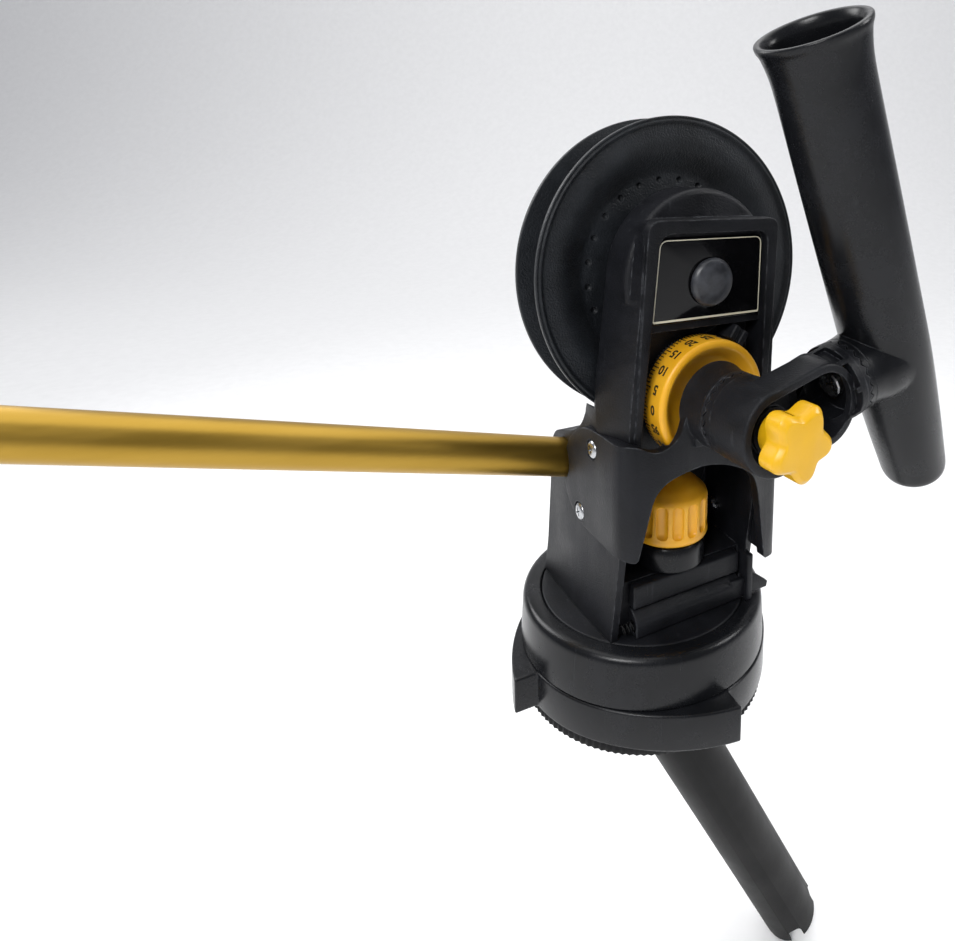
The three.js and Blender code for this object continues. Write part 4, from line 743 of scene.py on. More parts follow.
@dataclass
class Base:
    """The stem and the round base that stays still in the rod holder."""

    stem_radius: float = 20
    stem_bore: float = 17.4
    stem_length: float = 280
    stem_tilt: float = math.radians(28)
    notch_turn: float = math.radians(67)
    teeth: int = 120
    ring_radius: float = 71.5
    lobe_height: float = 12.2
    lobe_tip: float = math.radians(6)

    def above(self, height: float) -> Piece:
        """Gives a box that takes away what is above a height."""
        return block(-90, 90, -90, 90, height, 90)

    def stem(self) -> None:
        """Models the stem: a tube with a rounded foot rim and two crossed slots."""
        low, bore, radius = -self.stem_length, self.stem_bore, self.stem_radius
        profile = rounded([(bore, low), (radius, low), (radius, 30), (bore, 30)], [0.9, 1.1, 0, 0], 4)
        tube = lathe("stem_tube_piece", profile, 96)
        notch = rounded([(-5, low - 6), (5, low - 6), (5, low + 12), (-5, low + 12)], [0, 0, 4.9, 4.9], 6)
        for facing in (FORWARD, SIDEWAYS):
            shaped(tube, CUT, moved(prism("slot", notch, -26, 26, facing), spun("Z", self.notch_turn)))
        shaped(tube, CUT, moved(rod(3.3, 14, 26, 24, SIDEWAYS), at(0, 0, -46) @ spun("Z", math.pi)))
        bevelled(tube, 0.5, 3, 50)
        moved(tube, spun("Y", -self.stem_tilt))
        shaped(tube, CUT, self.above(7.7))
        finished(tube, "base", BLACK_ALLOY, replaces=["stem_tube"])

    def plate(self) -> None:
        """Models the index plate: round teeth, a hub, and the slanted spigot that the stem slides on."""
        outline = polar(self.teeth * 4, lambda share: 70.0 + 0.4 * math.cos(share * self.teeth * 2 * math.pi))
        plate = bevelled(prism("index_plate_piece", outline, 8, 13), 0.4, 2, 60)
        spigot = moved(rod(17.1, -58, 24, 64), spun("Y", -self.stem_tilt))
        shaped(plate, JOIN, rod(46, 12, 32.7, 96), shaped(spigot, CUT, self.above(12.5)))
        recess = around(lambda: moved(rod(5.1, 2, 13, 32), at(37, 0, 0)), 3, "Z", math.pi / 2)
        # the plate's darker nylon is painted shade for the shadow of the lock ring above it
        finished(shaped(plate, CUT, recess), "base", NYLON_PAINTED_SHADE, replaces=["index_plate"])

    def lock_ring(self) -> None:
        """Models the lock ring with its four saw-tooth lobes."""
        outline: list[Point] = []
        pitch, ramp_angle, step = math.pi / 2, math.radians(56), math.radians(1.5)
        for lobe in range(4):
            tip = self.lobe_tip + lobe * pitch
            for i in range(13):
                angle = tip - pitch + step + i / 12 * (pitch - ramp_angle - step)
                outline.append(on_circle(self.ring_radius, angle))
            for i in range(1, 29):
                rise = i / 28
                radius = self.ring_radius + self.lobe_height * rise ** 2
                outline.append(on_circle(radius, tip - ramp_angle * (1 - rise)))
        ring = bevelled(prism("lock_ring_piece", outline, 13.3, 32.7), 1.1, 4, 40)
        shaped(ring, CUT, rod(46.6, 8, 40, 96))
        finished(ring, "lock_ring", NYLON_SATIN, replaces=["lock_ring"])

    def cap(self) -> None:
        """Models the cap: a straight foot, a deep rounded shoulder and the well for the turntable."""
        profile = rounded([(6.3, 33), (70.9, 33), (70.9, 38), (69.6, 60), (59.5, 60), (59.5, 50), (6.3, 50)],
                          [0, 0.9, 4, 8.6, 1.2, 0.6, 0], 8)
        finished(lathe("base_cap_piece", profile, 192), "base", NYLON_SATIN,
                 replaces=["base_cap"], angle=40)

    def turntable(self) -> None:
        """Models the disc that turns in the cap's well."""
        profile = rounded([(6.3, -6), (59.1, -6), (59.1, -0.3), (6.3, -0.3)], [0, 0.4, 1.0, 0], 4)
        finished(lathe("turntable_piece", profile, 160), "housing", NYLON, BODY, ["turntable"])

    def build(self) -> None:
        """Makes all the base's pieces."""
        for step in (self.stem, self.plate, self.lock_ring, self.cap, self.turntable):
            step()


@dataclass
class Body:
    """The housing with its latch, swivel lock, name plate and saddle."""

    plate_floor: float = 54.9
    film_back: float = 55.2
    film_front: float = 56.5
    half_back: float = 46
    half_front: float = 42.3
    wall: float = 4
    side: tuple[Point, ...] = (
        (-41, 0), (38, 0), (33, 20), (25, 87.9), (20, 93.3), (11, 95.9), (-10, 103.1), (-19, 121.5), (-31, 137),
        (-31, 217), (-62, 217), (-61.4, 178), (-57.4, 118), (-55, 90), (-49, 50))
    side_rounds: tuple[float, ...] = (0, 0, 8, 7, 5, 8, 14, 14, 12, 2, 3.5, 14, 14, 14, 24)
    channel: tuple[Point, ...] = ((36.2, 86.8), (36.2, 123.7), (34.0, 164.9), (31.8, 210.5))
    frame_half: tuple[Point, ...] = (
        (38, 96), (40, 104), (40.2, 118), (39.6, 135), (39.5, 160), (39.2, 178), (38.9, 192), (38.6, 204),
        (38.2, 216.8))
    flank_half: tuple[Point, ...] = (
        (44, 96), (46.5, 103), (50, 115), (50.6, 130), (48.0, 150), (44.9, 176), (43.2, 192), (40.0, 204.5),
        (31.0, 216.8))
    back_half: tuple[Point, ...] = (
        (42, 96), (43.5, 103), (44, 115), (44, 130), (44.0, 150), (44, 176), (43.2, 192), (40.0, 204.5),
        (31.0, 216.8))
    lean: float = math.radians(4.2)
    cheeks: tuple[tuple[int, float, float], ...] = (
        (-1, -30.4, 100.3), (-1, -16.4, 61.4), (1, -30.4, 80.3), (1, -16.4, 41.4))

    def outline(self, half: Sequence[Point]) -> list[Point]:
        """Mirrors one side of the column's outline, from the foot up, and rounds its corners."""
        reach = [0.5, 3, 6, 8, 8, 8, 5, 3, 12]
        return rounded(mirrored(half), [*reach, *reversed(reach)], 5)

    def leaned(self, obj: Piece) -> Piece:
        """Leans what sits on the column's face, whose top stands further forward."""
        pivot = at(0, -57.5, 140)
        return moved(obj, pivot @ spun("X", self.lean) @ pivot.inverted())

    def plan(self, inset: float) -> list[Point]:
        """Gives the housing's plan, wider at the back.

        Args:
            inset: how far the plan is drawn in.

        Returns:
            The outline's points.
        """
        wide, narrow = self.half_back - inset, self.half_front - inset
        half = [(narrow, -100), (narrow, -60), (wide, -10), (wide, 100)]
        return rounded(mirrored(half), [0, 20, 20, 0, 0, 20, 20, 0], 6)

    def form(self, grow: float) -> Piece:
        """Models the housing's outer form: a foot and a flared column, cut to the profile of their side.

        Args:
            grow: how far it is grown for what fits round it.

        Returns:
            The form.
        """
        side = moved(prism("side", rounded(self.side, self.side_rounds, 7), -56, 56, SIDEWAYS), at(0, -grow, 0))
        foot = shaped(block(-60, 60, -90, 90, -2, 117), MEET, prism("plan", self.plan(-grow), -6, 223))
        halves = ((self.back_half, 8), (self.flank_half, 37), (self.frame_half, 66))
        column = loft("column", [(self.outline(half), depth) for half, depth in halves], FORWARD)
        return shaped(shaped(foot, JOIN, column), MEET, side)

    def inner(self, front: float, back: float, low: float, high: float) -> Piece:
        """Gives the room between the housing's walls, cut to a box."""
        room = block(-90, 90, front, back, low, high)
        return shaped(prism("inner", self.plan(self.wall), -6, 223), MEET, room)

    def along_boom(self, radius: float, past: float = 0) -> Piece:
        """Gives a bar along the boom, which may run past the boom's inner end."""
        return moved(rod(radius, -78.3 - past, 200, 64), BODY.inverted() @ BOOM)

    def hollows(self, channel: Sequence[Point]) -> list[Piece]:
        """Gives what is cut out first: the spool's trough, the pocket, and the rooms within the walls.

        Args:
            channel: the pocket's outline in the column's face.

        Returns:
            The tools.
        """
        trough = moved(rod(81.2, -100, 34.3, 160, FORWARD), AT_REEL)
        deep = shaped(prism("deep", channel, 46, 100, FORWARD), MEET, block(-90, 90, -90, 90, 28, 163))
        rear = rounded([(-1, 10.9), (28.5, 10.9), (28.2, 20), (21, 83.5), (10, 87.9), (-1, 93.3)],
                       [0, 2, 2, 4, 3, 0], 4)
        under_rear = shaped(prism("rear", self.plan(self.wall), -6, 223), MEET,
                            prism("rear", rear, -90, 90, SIDEWAYS))
        return [trough, deep, self.leaned(prism("shallow", channel, self.plate_floor, 100, FORWARD)),
                self.inner(-90, -3.6, 28, 99), self.inner(-90, -38, -6, 28.3), self.inner(-34, 29, -6, 24),
                under_rear]

    def additions(self, channel: Sequence[Point]) -> list[Piece]:
        """Gives what is joined next: the frame's bead, the boom's socket, screw posts and the wall's end.

        Args:
            channel: the pocket's outline in the column's face.

        Returns:
            The tools.
        """
        bead = prism("bead", self.outline([(40.4, 106), (40.4, 110), *self.frame_half[2:]]), 54, 59.6, FORWARD)
        shaped(bead, CUT, prism("within", channel, 40, 80, FORWARD))
        socket = shaped(prism("socket", self.plan(self.wall / 2), -6, 217), MEET, self.along_boom(14.8, 6),
                        block(22, 60, -80, 80, 0, 210))
        posts = [moved(rod(4.8, 0.2, 25, 40), at(x, y, 0)) for x, y in ((-39.2, 12), (39.2, 12), (0, 33))]
        wall_end = bevelled(block(38, 42, -50, -40, 0.2, 27.6), 1.0, 3)
        return [self.leaned(bevelled(bead, 1.9, 5, 40)), socket, *posts, wall_end]

    def bores(self) -> list[Piece]:
        """Gives what is cut out last: the bores, the pawl's way and the window for the latch's tab.

        Returns:
            The tools.
        """
        axle = (rod(31.5, 45.7, 49.4, 96, FORWARD), rod(10, 0, 46, 48, FORWARD),
                rod(6.3, 46, 55.4, 48, FORWARD), rod(BOLT_ROOM, 46, 100, 48, FORWARD))
        return [self.along_boom(10.8), *[moved(bore, AT_REEL) for bore in axle],
                moved(rod(BOLT_ROOM, 34, 100, 40, FORWARD), AT_DIAL),
                moved(rod(5.3, -6, 44, 48), at(0, -26, 0)),
                block(-20.8, 14.8, -90, -28, 3.7, 8.3), block(14, 90, -47.4, -42.4, 0.8, 13.2),
                *self.cheek_rooms(2.3, 0, 60)]

    def housing(self) -> None:
        """Models the housing: one moulding with a column, a drum boss, a pocket and a foot."""
        drum = rounded([(0, 25), (43.5, 25), (43.5, 54), (0, 54)], [0, 1, 3.4, 0], 7, False)
        body = shaped(self.form(0), JOIN, moved(lathe("drum", drum, 144, FORWARD), AT_REEL))
        channel = rounded(mirrored(self.channel), [2, 14, 14, 7, 7, 14, 14, 2], 7)
        shaped(body, CUT, *self.hollows(channel))
        shaped(body, JOIN, *self.additions(channel))
        shaped(body, CUT, *self.bores())
        bevelled(body, 0.8, 3, 50)
        body.name = "housing_piece"
        finished(body, "housing", NYLON, BODY, ["housing"], 38)

    def cheek_rooms(self, radius: float, low: float, high: float) -> list[Piece]:
        """Gives bars at the four cheek screws' places, between two distances from the middle."""
        return [moved(rod(radius, low, high, 32), at(0, y, z) @ spun("Y", side * math.pi / 2))
                for side, y, z in self.cheeks]

    def sweep(self) -> Piece:
        """Gives the room that the saddle keeps to, seen from the side; the right leg reaches lower.

        Returns:
            The room.
        """
        left = [(-85.2, 48.1), (-53.3, 52.2), (-19.9, 55.7), (-5, 61.4), (1.4, 70.9), (2.1, 82.3), (-2.8, 96.2),
                (-14.2, 106.3), (-25.6, 110.4), (-60.4, 112), (-85.2, 164.6)]
        right = [(y, z - 20 if z < 107 else z) for y, z in left]
        reach = [0, 6, 10, 12, 10, 10, 12, 12, 8, 10, 0]
        return shaped(prism("left", rounded(left, reach, 7), -100, 0, SIDEWAYS), JOIN,
                      prism("right", rounded(right, reach, 7), -6, 100, SIDEWAYS))

    def saddle(self) -> None:
        """Models the saddle bracket: a bowed band with swept legs, flush cheeks and a toothed boss."""
        outer = rounded(mirrored([(49.4, 12), (49.4, -60), (33.6, -65.7), (23.7, -69.9), (19.8, -71)]),
                        [0, 14, 9, 8, 6, 6, 8, 9, 14, 0], 8)
        inside = rounded(mirrored([(41.5, 20), (41.5, -56.4), (31.6, -61.4), (22.3, -65.4), (18.6, -66.4)]),
                         [0, 13, 9, 8, 6, 6, 8, 9, 13, 0], 8)
        band = shaped(prism("saddle_bracket_piece", outer, 0, 130), CUT, prism("in", inside, -6, 150))
        face = rounded([(-54.3, 110.1), (-54.3, 57.2), (-41.2, 53.4), (-36.6, 74), (-33.4, 88.5), (-24, 96.8),
                        (-10, 99.4), (8, 95.6), (23.5, 86.5), (29, 70), (36.4, 34), (54.3, 31), (54.3, 103.8),
                        (42.5, 112.3), (33.1, 106.7), (23.2, 113.9), (19.8, 126.6), (-19.8, 126.6),
                        (-23.2, 113.9), (-33.1, 106.7), (-42.5, 112.3)],
                       [0, 0, 3, 14, 8, 8, 9, 9, 9, 12, 2.5, 0, 0, 8, 9, 8, 3, 3, 8, 9, 8], 7)
        shaped(band, MEET, prism("face", face, -100, 100, FORWARD), self.sweep())
        bevelled(band, 1.2, 4, 40)
        shaped(band, CUT, self.form(0.3))
        boss = rounded([(0, 66.4), (21.4, 66.4), (20.4, 69.6), (19.8, 73.6), (19.8, 81.6), (0, 81.6)],
                       [0, 0, 3, 3, 0, 0], 6, False)
        web = block(-15.8, 15.8, -72.5, -66.4, 109.7, DIAL_HEIGHT)
        shaped(band, JOIN, moved(lathe("boss", boss, 96, FORWARD), AT_DIAL), web)
        clear = lathe("clear", [(0, -20), (32.1, -20), (32.1, 64.8), (31, 66.4), (0, 66.4)], 96, FORWARD)
        for tool in (clear, rod(7.9, 60, 71.7, 48, FORWARD), rod(BOLT_ROOM, 60, 100, 48, FORWARD)):
            shaped(band, CUT, moved(tool, AT_DIAL))
        shaped(band, CUT, self.along_boom(12.1), *self.cheek_rooms(5.4, 48.2, 60),
               *self.cheek_rooms(2.3, 40, 60))
        bevelled(band, 0.35, 2, 45)
        together(band, moved(crown(19.8, 9, BOSS_FRONT - 0.8, 80.5), AT_DIAL @ FORWARD))
        finished(band, "housing", NYLON, BODY, ["saddle_bracket"], 36)

    def latch(self) -> None:
        """Models the release latch with its wide chamfer and pointed tab, and the fixed guide above it."""
        section = rounded([(-38.3, 0.9), (-38.3, 14.2), (-41.4, 14.2), (-46.6, 9.4), (-46.6, 0.9)],
                          [0.5, 0.8, 2.4, 2.4, 0.9], 5)
        bar = prism("release_latch_piece", section, -31.6, 36, SIDEWAYS)
        tab = prism("tab", [(30, 1.6), (55.6, 1.6), (56.4, 4.8), (47, 12.2), (30, 12.2)], 43.2, 46.4, FORWARD)
        shaped(bevelled(bar, 0.9, 4, 50), JOIN, bevelled(tab, 0.5, 3, 40))
        shaped(bar, CUT, moved(rod(3.2, -40, -26, 32, SIDEWAYS), at(0, -42.5, 5.9)))
        finished(bar, "release_latch", NYLON, BODY, ["release_latch"], 40)
        guide = bevelled(block(-32, 36.4, -44.2, -38.3, 15.6, 27.6), 1.0, 4)
        guide.name = "latch_guide_piece"
        finished(guide, "housing", NYLON, BODY, ["latch_guide"], 40)

    def lock(self) -> None:
        """Models the amber lock knob with its flutes, and the collar under it."""
        place = BODY @ at(0, -26, 0)
        collar = rounded([(5.3, 28.3), (20.2, 28.3), (20.2, 38), (19, 41.6), (5.3, 41.6)], [0, 0.8, 3, 1.4, 0])
        finished(lathe("knob_collar_piece", collar), "housing", NYLON_SATIN, place,
                 ["knob_collar"])
        side = rounded([(0, 43), (20.6, 43), (21.9, 44.4), (21.9, 46.4), (21.6, 48), (21.6, 66.6), (14.8, 72.8),
                        (8.2, 74.3), (0, 74.8)], [0, 1, 1, 0.8, 0.8, 2.4, 3, 3, 0], 6, False)
        knob = lathe("lock_knob_piece", side, 144)
        flutes = around(lambda: bevelled(moved(rod(3.5, 47.4, 65.8, 24), at(22.7, 0, 0)), 2.6, 4), 16, "Z",
                        math.radians(4))
        shaped(knob, CUT, flutes, rod(5.3, 40, 60))
        bevelled(knob, 0.35, 2, 38)
        finished(knob, "lock_knob", AMBER, place, ["lock_knob"], 40)

    def name_plate(self) -> None:
        """Models the bare name plate: a black film with a printed cream border."""
        back, front = self.film_back, self.film_front
        plate = bevelled(prism("name_plate_piece", self.framed(0, 0, 1.2), back, front, FORWARD), 0.4, 3, 50)
        shaped(plate, CUT, moved(rod(4.6, 40, 80, 48, FORWARD), AT_REEL))
        finished(self.leaned(plate), "housing", LABEL, BODY, ["name_plate"])
        border = prism("name_plate_border", self.framed(0.7, 0.9), front - 0.1, front + 0.12, FORWARD)
        shaped(border, CUT, prism("within", self.framed(1.2, 1.9), back, back + 3, FORWARD))
        finished(self.leaned(border), "housing", LABEL_EDGE, BODY)

    def framed(self, aside: float, below: float, heel: float = 1) -> list[Point]:
        """Gives an outline at or inside the name plate's edge.

        Args:
            aside: how far in it runs at the sides and the top.
            below: how far in it runs at the foot.
            heel: how round its two lower corners are.

        Returns:
            The outline.
        """
        foot, top = 32.6 - aside, 30.8 - aside
        corners = [(-foot, 167 + below), (foot, 167 + below), (top, 208 - aside), (-top, 208 - aside)]
        return rounded(corners, [heel, heel, 5 - aside, 5 - aside], 8)

    def button(self) -> None:
        """Models the domed axle cap."""
        seat = self.film_front + 0.3
        profile = rounded([(0, seat - 2), (4, seat - 2), (4, seat), (11.9, seat), (12.1, seat + 1.4),
                           (10.9, seat + 3.4), (6.5, seat + 4.9), (0, seat + 5.2)],
                          [0, 0, 0, 0.4, 1.2, 2.4, 3, 0], 6, False)
        cap = moved(lathe("axle_cap_piece", profile, 96, FORWARD), at(0, 0, SPOOL_HEIGHT - 1.4))
        finished(self.leaned(cap), "housing", CAP, BODY, ["axle_cap"], 50)

    def build(self) -> None:
        """Makes all the housing's pieces."""
        for step in (self.housing, self.saddle, self.latch, self.lock, self.name_plate, self.button):
            step()


@dataclass
class Spool:
    """The spool that holds the line, and its crank."""

    radius: float = 79.2

    def spool(self) -> None:
        """Models the spool: double-lipped flanges, a dished band, a dimpled ring and ribs."""
        rim = self.radius
        profile = [(0, 22.2), (51.2, 22.2), (55.6, 25.2), (64, 31.2), (75, 31.2), (76.3, 33.0), (77.1, 33.2),
                   (77.5, 32.5), (78, 32.5), (78.5, 33.2), (rim, 33.0), (rim, 30.6), (65, 29.2), (53.6, 20.8),
                   (53.6, 12.2), (56.2, 10.3), (rim, 9.0), (rim, 6.7), (78.7, 6.2), (77, 6.2), (75.2, 8.0),
                   (57.8, 8.0), (50.6, 9.8), (50.6, 15), (47, 18.6), (14, 18.6), (14, 2), (0, 2)]
        reach = [0, 2.2, 3, 8, 0.8, 0.6, 0.3, 0.2, 0.2, 0.3, 0.3, 0.4, 5, 2, 2, 3, 0.4, 0.3, 0.3, 0.5, 0.8,
                 2.4, 2.4, 1, 1, 1, 0.6, 0]
        body = lathe("spool_piece", rounded(profile, reach, 5, False), 192, FORWARD)
        dent = rounded([(0, 20.6), (1.2, 20.9), (1.9, 22.3), (2.2, 26), (0, 26)], [0, 0.8, 0.8, 0, 0], 4, False)
        dimples = around(lambda: moved(lathe("dent", dent, 24, FORWARD), at(47.4, 0, 0)), 24, "Y",
                         math.radians(7.5))
        shaped(body, JOIN, around(lambda: block(13, 50.8, -18.8, -11, -1.3, 1.3), 6, "Y"))
        shaped(body, CUT, dimples, rod(9, -20, 40, 64, FORWARD))
        finished(body, "spool", NYLON_GRAINED, REEL, ["spool"], 30)

    def crank(self) -> None:
        """Finishes the crank's arm, its grip and the drag knob."""
        finished(from_solid("crank_arm", 0.9), "spool", BLACK_ALLOY, replaces=["crank_arm"])
        start, length = self.grip_back(), 46.1
        grip = rounded([(3.8, 0), (9.4, 0), (11, 2.2), (11, 5.5), (9.6, length / 2), (10.4, length - 3),
                        (8, length), (3.8, length)], [0, 1, 1.6, 3, 16, 3, 1, 0], 6)
        piece = lathe("crank_grip_piece", [(r, z + start) for r, z in grip], 72, FORWARD)
        shaped(piece, CUT, around(lambda: moved(rod(0.8, start + 7, start + 38, 12, FORWARD), at(10.9, 0, 0)),
                                  12, "Y"))
        finished(piece, "crank_grip", NYLON, REEL @ at(66, 0, 0), ["crank_grip"])
        finished(from_solid("drag_knob", 1.6, 4), "drag_knob", NYLON, replaces=["drag_knob"])

    def grip_back(self) -> float:
        """Gives where the grip's far end is, from its CAD node."""
        return -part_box("crank_grip")[1].y / MM

    def build(self) -> None:
        """Makes the spool and its crank."""
        self.spool()
        self.crank()


@dataclass
class Counter:
    """The amber depth dial with its numbers, and the index pointer."""

    radius: float = 31.3
    back: float = 47.4
    front: float = 65.4

    def dial(self) -> None:
        """Models the dial: a rim with a rounded lip and a dished front."""
        back, front, radius = self.back, self.front, self.radius
        profile = [(BOLT_ROOM, 50), (9, 50), (26, 51), (27.7, back), (29.5, back), (29.5, 49.2), (radius, 49.4),
                   (radius, 64.2), (30.1, front), (27.7, front), (25.2, 62.6), (21.9, 56.8), (9, 54.6),
                   (BOLT_ROOM, 54.6)]
        reach = [0, 0, 0, 0, 0.3, 0.2, 0.3, 1.6, 1.2, 1.6, 3, 3, 1, 0]
        finished(lathe("depth_dial_piece", rounded(profile, reach, 6), 160, FORWARD), "dial", AMBER,
                 COUNTER, ["depth_dial"])

    def at_mark(self, mark: int) -> Matrix:
        """Gives the turn from the right of the rim to one of its hundred marks."""
        return spun("Y", math.radians(3.6 * mark) - math.pi)

    def marks(self) -> None:
        """Prints the dial's lines and its plain numbers from 0 to 95 round the rim."""
        pieces = []
        for mark in range(100):
            end = -54.2 if mark % 5 == 0 else -52.6
            line = block(self.radius - 0.3, self.radius + 0.1, end, -49.6, -0.28, 0.28)
            pieces.append(moved(line, self.at_mark(mark)))
        lie = Matrix(((0, 0, 1, self.radius - 0.08), (1, 0, 0, -58.6), (0, 1, 0, 0), (0, 0, 0, 1)))
        for number in range(0, 100, 5):
            bpy.ops.object.select_all(action="DESELECT")
            bpy.ops.object.text_add()
            text = bpy.context.object
            text.data.body, text.data.size, text.data.extrude, text.data.offset = str(number), 6.5, 0.2, 0.16
            text.data.align_x, text.data.align_y, text.data.resolution_u = "CENTER", "CENTER", 4
            activate(text)
            bpy.ops.object.convert(target="MESH")
            pieces.append(moved(text, self.at_mark(number) @ lie))
        marks = together(*pieces)
        marks.name = "dial_markings"
        finished(marks, "dial", INK, COUNTER)

    def pointer(self) -> None:
        """Finishes the index pointer beside the dial."""
        pointer = from_solid("index_pointer", 0.9, 4)
        finished(pointer, "housing", NYLON, replaces=["index_pointer"])

    def build(self) -> None:
        """Makes the dial, its marks and the pointer."""
        self.dial()
        self.marks()
        self.pointer()


@dataclass
class RodHolder:
    """The elbow, the star knob and the rod holder's tube."""

    radius: float = 21.3
    above: float = 167.5
    below: float = 82.2

    def elbow(self) -> None:
        """Models the elbow: a toothed heel, an open arm with a thick rim, and a neck with windows."""
        heel = lathe("elbow_piece", rounded([(0, 1.3), (9.4, 1.3), (9.4, 3.6), (20, 3.6), (20, 28), (0, 28)],
                                            [0, 0, 0, 0, 1.4, 0], 5, False), 128, FORWARD)
        arm = bevelled(prism("arm", self.slot(20, 28.7), 11, 28, FORWARD), 1.5, 5, 50)
        neck = lathe("neck", rounded([(0, 8), (15, 8), (17.2, 22), (18.6, 38), (18.6, 51), (0, 51)],
                                     [0, 3, 8, 8, 0, 0], 6, False), 128, SIDEWAYS)
        lower = at(0, -14, 0)
        pane = rounded([(38.8, -5.9), (47.2, -5.9), (47.2, 5.9), (38.8, 5.9)], 1.1, 4)
        for i in range(8):
            depth = 12 if i in (0, 7) else 15.4
            turn = spun("X", -math.radians(30 + i * 45)) @ FORWARD
            shaped(neck, CUT, moved(prism("pane", pane, depth, 30), turn))
        shaped(heel, JOIN, arm, moved(neck, lower), moved(rod(9.4, 40, 52.4, 64, SIDEWAYS), lower))
        pocket = prism("pocket", self.slot(16, 28.7), 6, 60, FORWARD)
        hollow = shaped(moved(rod(14.6, 26, 49, 96, SIDEWAYS), lower), MEET, block(20, 60, -24.6, -4, -30, 30))
        shaped(heel, CUT, pocket, hollow, block(32.8, 38.8, -8, -3.2, -5.6, 0.4))
        shaped(heel, JOIN, rod(11.5, 5.7, 22, 64, FORWARD))
        shaped(heel, CUT, rod(BOLT_ROOM, -6, 60, 40, FORWARD),
               moved(rod(BOLT_ROOM, 24, 60, 40, SIDEWAYS), lower))
        bevelled(heel, 0.6, 3, 55)
        together(heel, moved(crown(19.8, 9.6, -0.1, 4.2), FORWARD),
                 moved(crown(18.4, 9.6, 53.6, 50.4), lower @ SIDEWAYS))
        finished(heel, "elbow", NYLON, ARM, ["elbow"], 36)

    def slot(self, radius: float, span: float) -> list[Point]:
        """Gives the outline of two equal circles, a span apart, and what lies between them."""
        points = [on_circle(radius, -math.pi / 2 + i / 32 * math.pi) for i in range(64)]
        return [(x + (span if i <= 32 else 0), y) for i, (x, y) in enumerate(points)]

    def lobed(self, radius: float, lobe: float) -> list[Point]:
        """Gives an outline with five round lobes, the first a little below the right."""
        return polar(150, lambda share: radius + lobe * math.cos(share * 10 * math.pi), math.radians(-11))

    def star(self) -> None:
        """Models the star knob: five round lobes with a wide soft bevel, and a shank."""
        rings = ((self.lobed(15.3, 2.4), 33), (self.lobed(15.3, 2.4), 41.4), (self.lobed(12.6, 2.1), 44))
        knob = shaped(loft("star_knob_piece", rings, FORWARD), JOIN, rod(10, 24.8, 35, 64, FORWARD))
        in_edit(knob, lambda: bpy.ops.mesh.dissolve_limited(angle_limit=math.radians(0.3)))
        bevelled(knob, 0.7, 3, 26)
        shaped(knob, CUT, rod(BOLT_ROOM, 20, 40.2, 48, FORWARD))
        finished(knob, "star_knob", LEMON, BOSS, ["star_knob"], 28)

    def tube(self) -> None:
        """Models the tube: a swelling foot, a long wall and a thick flared lip, with its neck."""
        length, low, top, r = self.above + self.below, -self.below, self.above, self.radius
        shares = [(0, 0.6), (0.0, 0.97), (0.004, 1.02), (0.014, 1.055), (0.05, 1.09), (0.137, 1.17),
                  (0.196, 1.213), (0.262, 1.262), (0.34, 1.299), (0.65, 1.299), (0.9, 1.284)]
        outside = [(r * wide / shares[-2][1], low + length * along) for along, wide in shares]
        flare = [(r - 0.1, top - 17), (r + 0.5, top - 11), (r + 1.6, top - 5), (r + 2.9, top - 2.2),
                 (r + 2.9, top), (r + 0.3, top), (r - 1.7, top - 3.4), (r - 2.6, top - 12)]
        taper = [(11.2, low + 7), (13.8, low + 14), (r - 2.6, low + length * 0.33)]
        reach = [0, 1.0, 0.8, 1.6, 5, 8, 10, 10, 20, 40, 16, 8, 4, 3, 1.2, 1.2, 1.2, 3, 6, 20, 4, 1, 0.5, 0]
        wall = rounded([*outside, *flare, *reversed(taper), (3, low + 7), (3, low)], reach)
        place = spun("X", math.radians(6.2)) @ at(87, 0, 0) @ spun("Y", -math.radians(13.1))
        tube = moved(lathe("rod_holder_piece", wall, 128), place)
        room = moved(lathe("room", [(0, low + 7), *taper, (r - 2.6, top), (0, top)]), place)
        face = 54.9
        neck = rounded([(0, face + 2.5), (18.4, face + 2.5), (18.4, face + 5), (18.8, face + 10),
                        (20.4, face + 18), (20.8, face + 32), (0, face + 32)],
                       [0, 0.4, 2, 5, 6, 0, 0], 6, False)
        shaped(tube, JOIN, lathe("neck", neck, 128, SIDEWAYS), rod(9.3, face + 1.2, face + 20, 48, SIDEWAYS))
        together(tube, moved(crown(18.3, 9.3, face - 0.6, face + 2.8), SIDEWAYS))
        shaped(tube, CUT, room, rod(BOLT_ROOM, 50, 90, 48, SIDEWAYS))
        finished(tube, "rod_holder", NYLON_SATIN, NECK, ["rod_holder"], 36)

    def build(self) -> None:
        """Makes the elbow, the knob and the tube."""
        self.elbow()
        self.star()
        self.tube()


@dataclass
class Boom:
    """The gold boom and the pulley at its tip."""

    radius: float = 10.5
    low: float = -78
    high: float = 560

    def tube(self) -> None:
        """Models the boom's tube with softened ends."""
        bore = self.radius - 1.6
        profile = rounded([(bore, self.low), (self.radius, self.low), (self.radius, self.high),
                           (bore, self.high)], 0.4, 3)
        finished(lathe("boom_tube_piece", profile), "housing", GOLD, BOOM, ["boom_tube"])

    def head(self) -> None:
        """Finishes the fork at the boom's tip and models its pulley."""
        finished(from_solid("boom_head", 0.6), "housing", NYLON, replaces=["boom_head"])
        profile = rounded([(3.3, -4.2), (15.5, -4.2), (16, -3.4), (15.9, -2.8), (12, -1), (12, 1), (15.9, 2.8),
                           (16, 3.4), (15.5, 4.2), (3.3, 4.2)],
                          [0.3, 0.4, 0.3, 0.4, 1, 1, 0.4, 0.3, 0.4, 0.3], 4)
        finished(lathe("boom_pulley_piece", profile, 96, FORWARD), "boom_pulley", GREY,
                 BOOM @ at(0, 0, 595.08), ["boom_pulley"])

    def build(self) -> None:
        """Makes the boom, its head and the pulley."""
        self.tube()
        self.head()


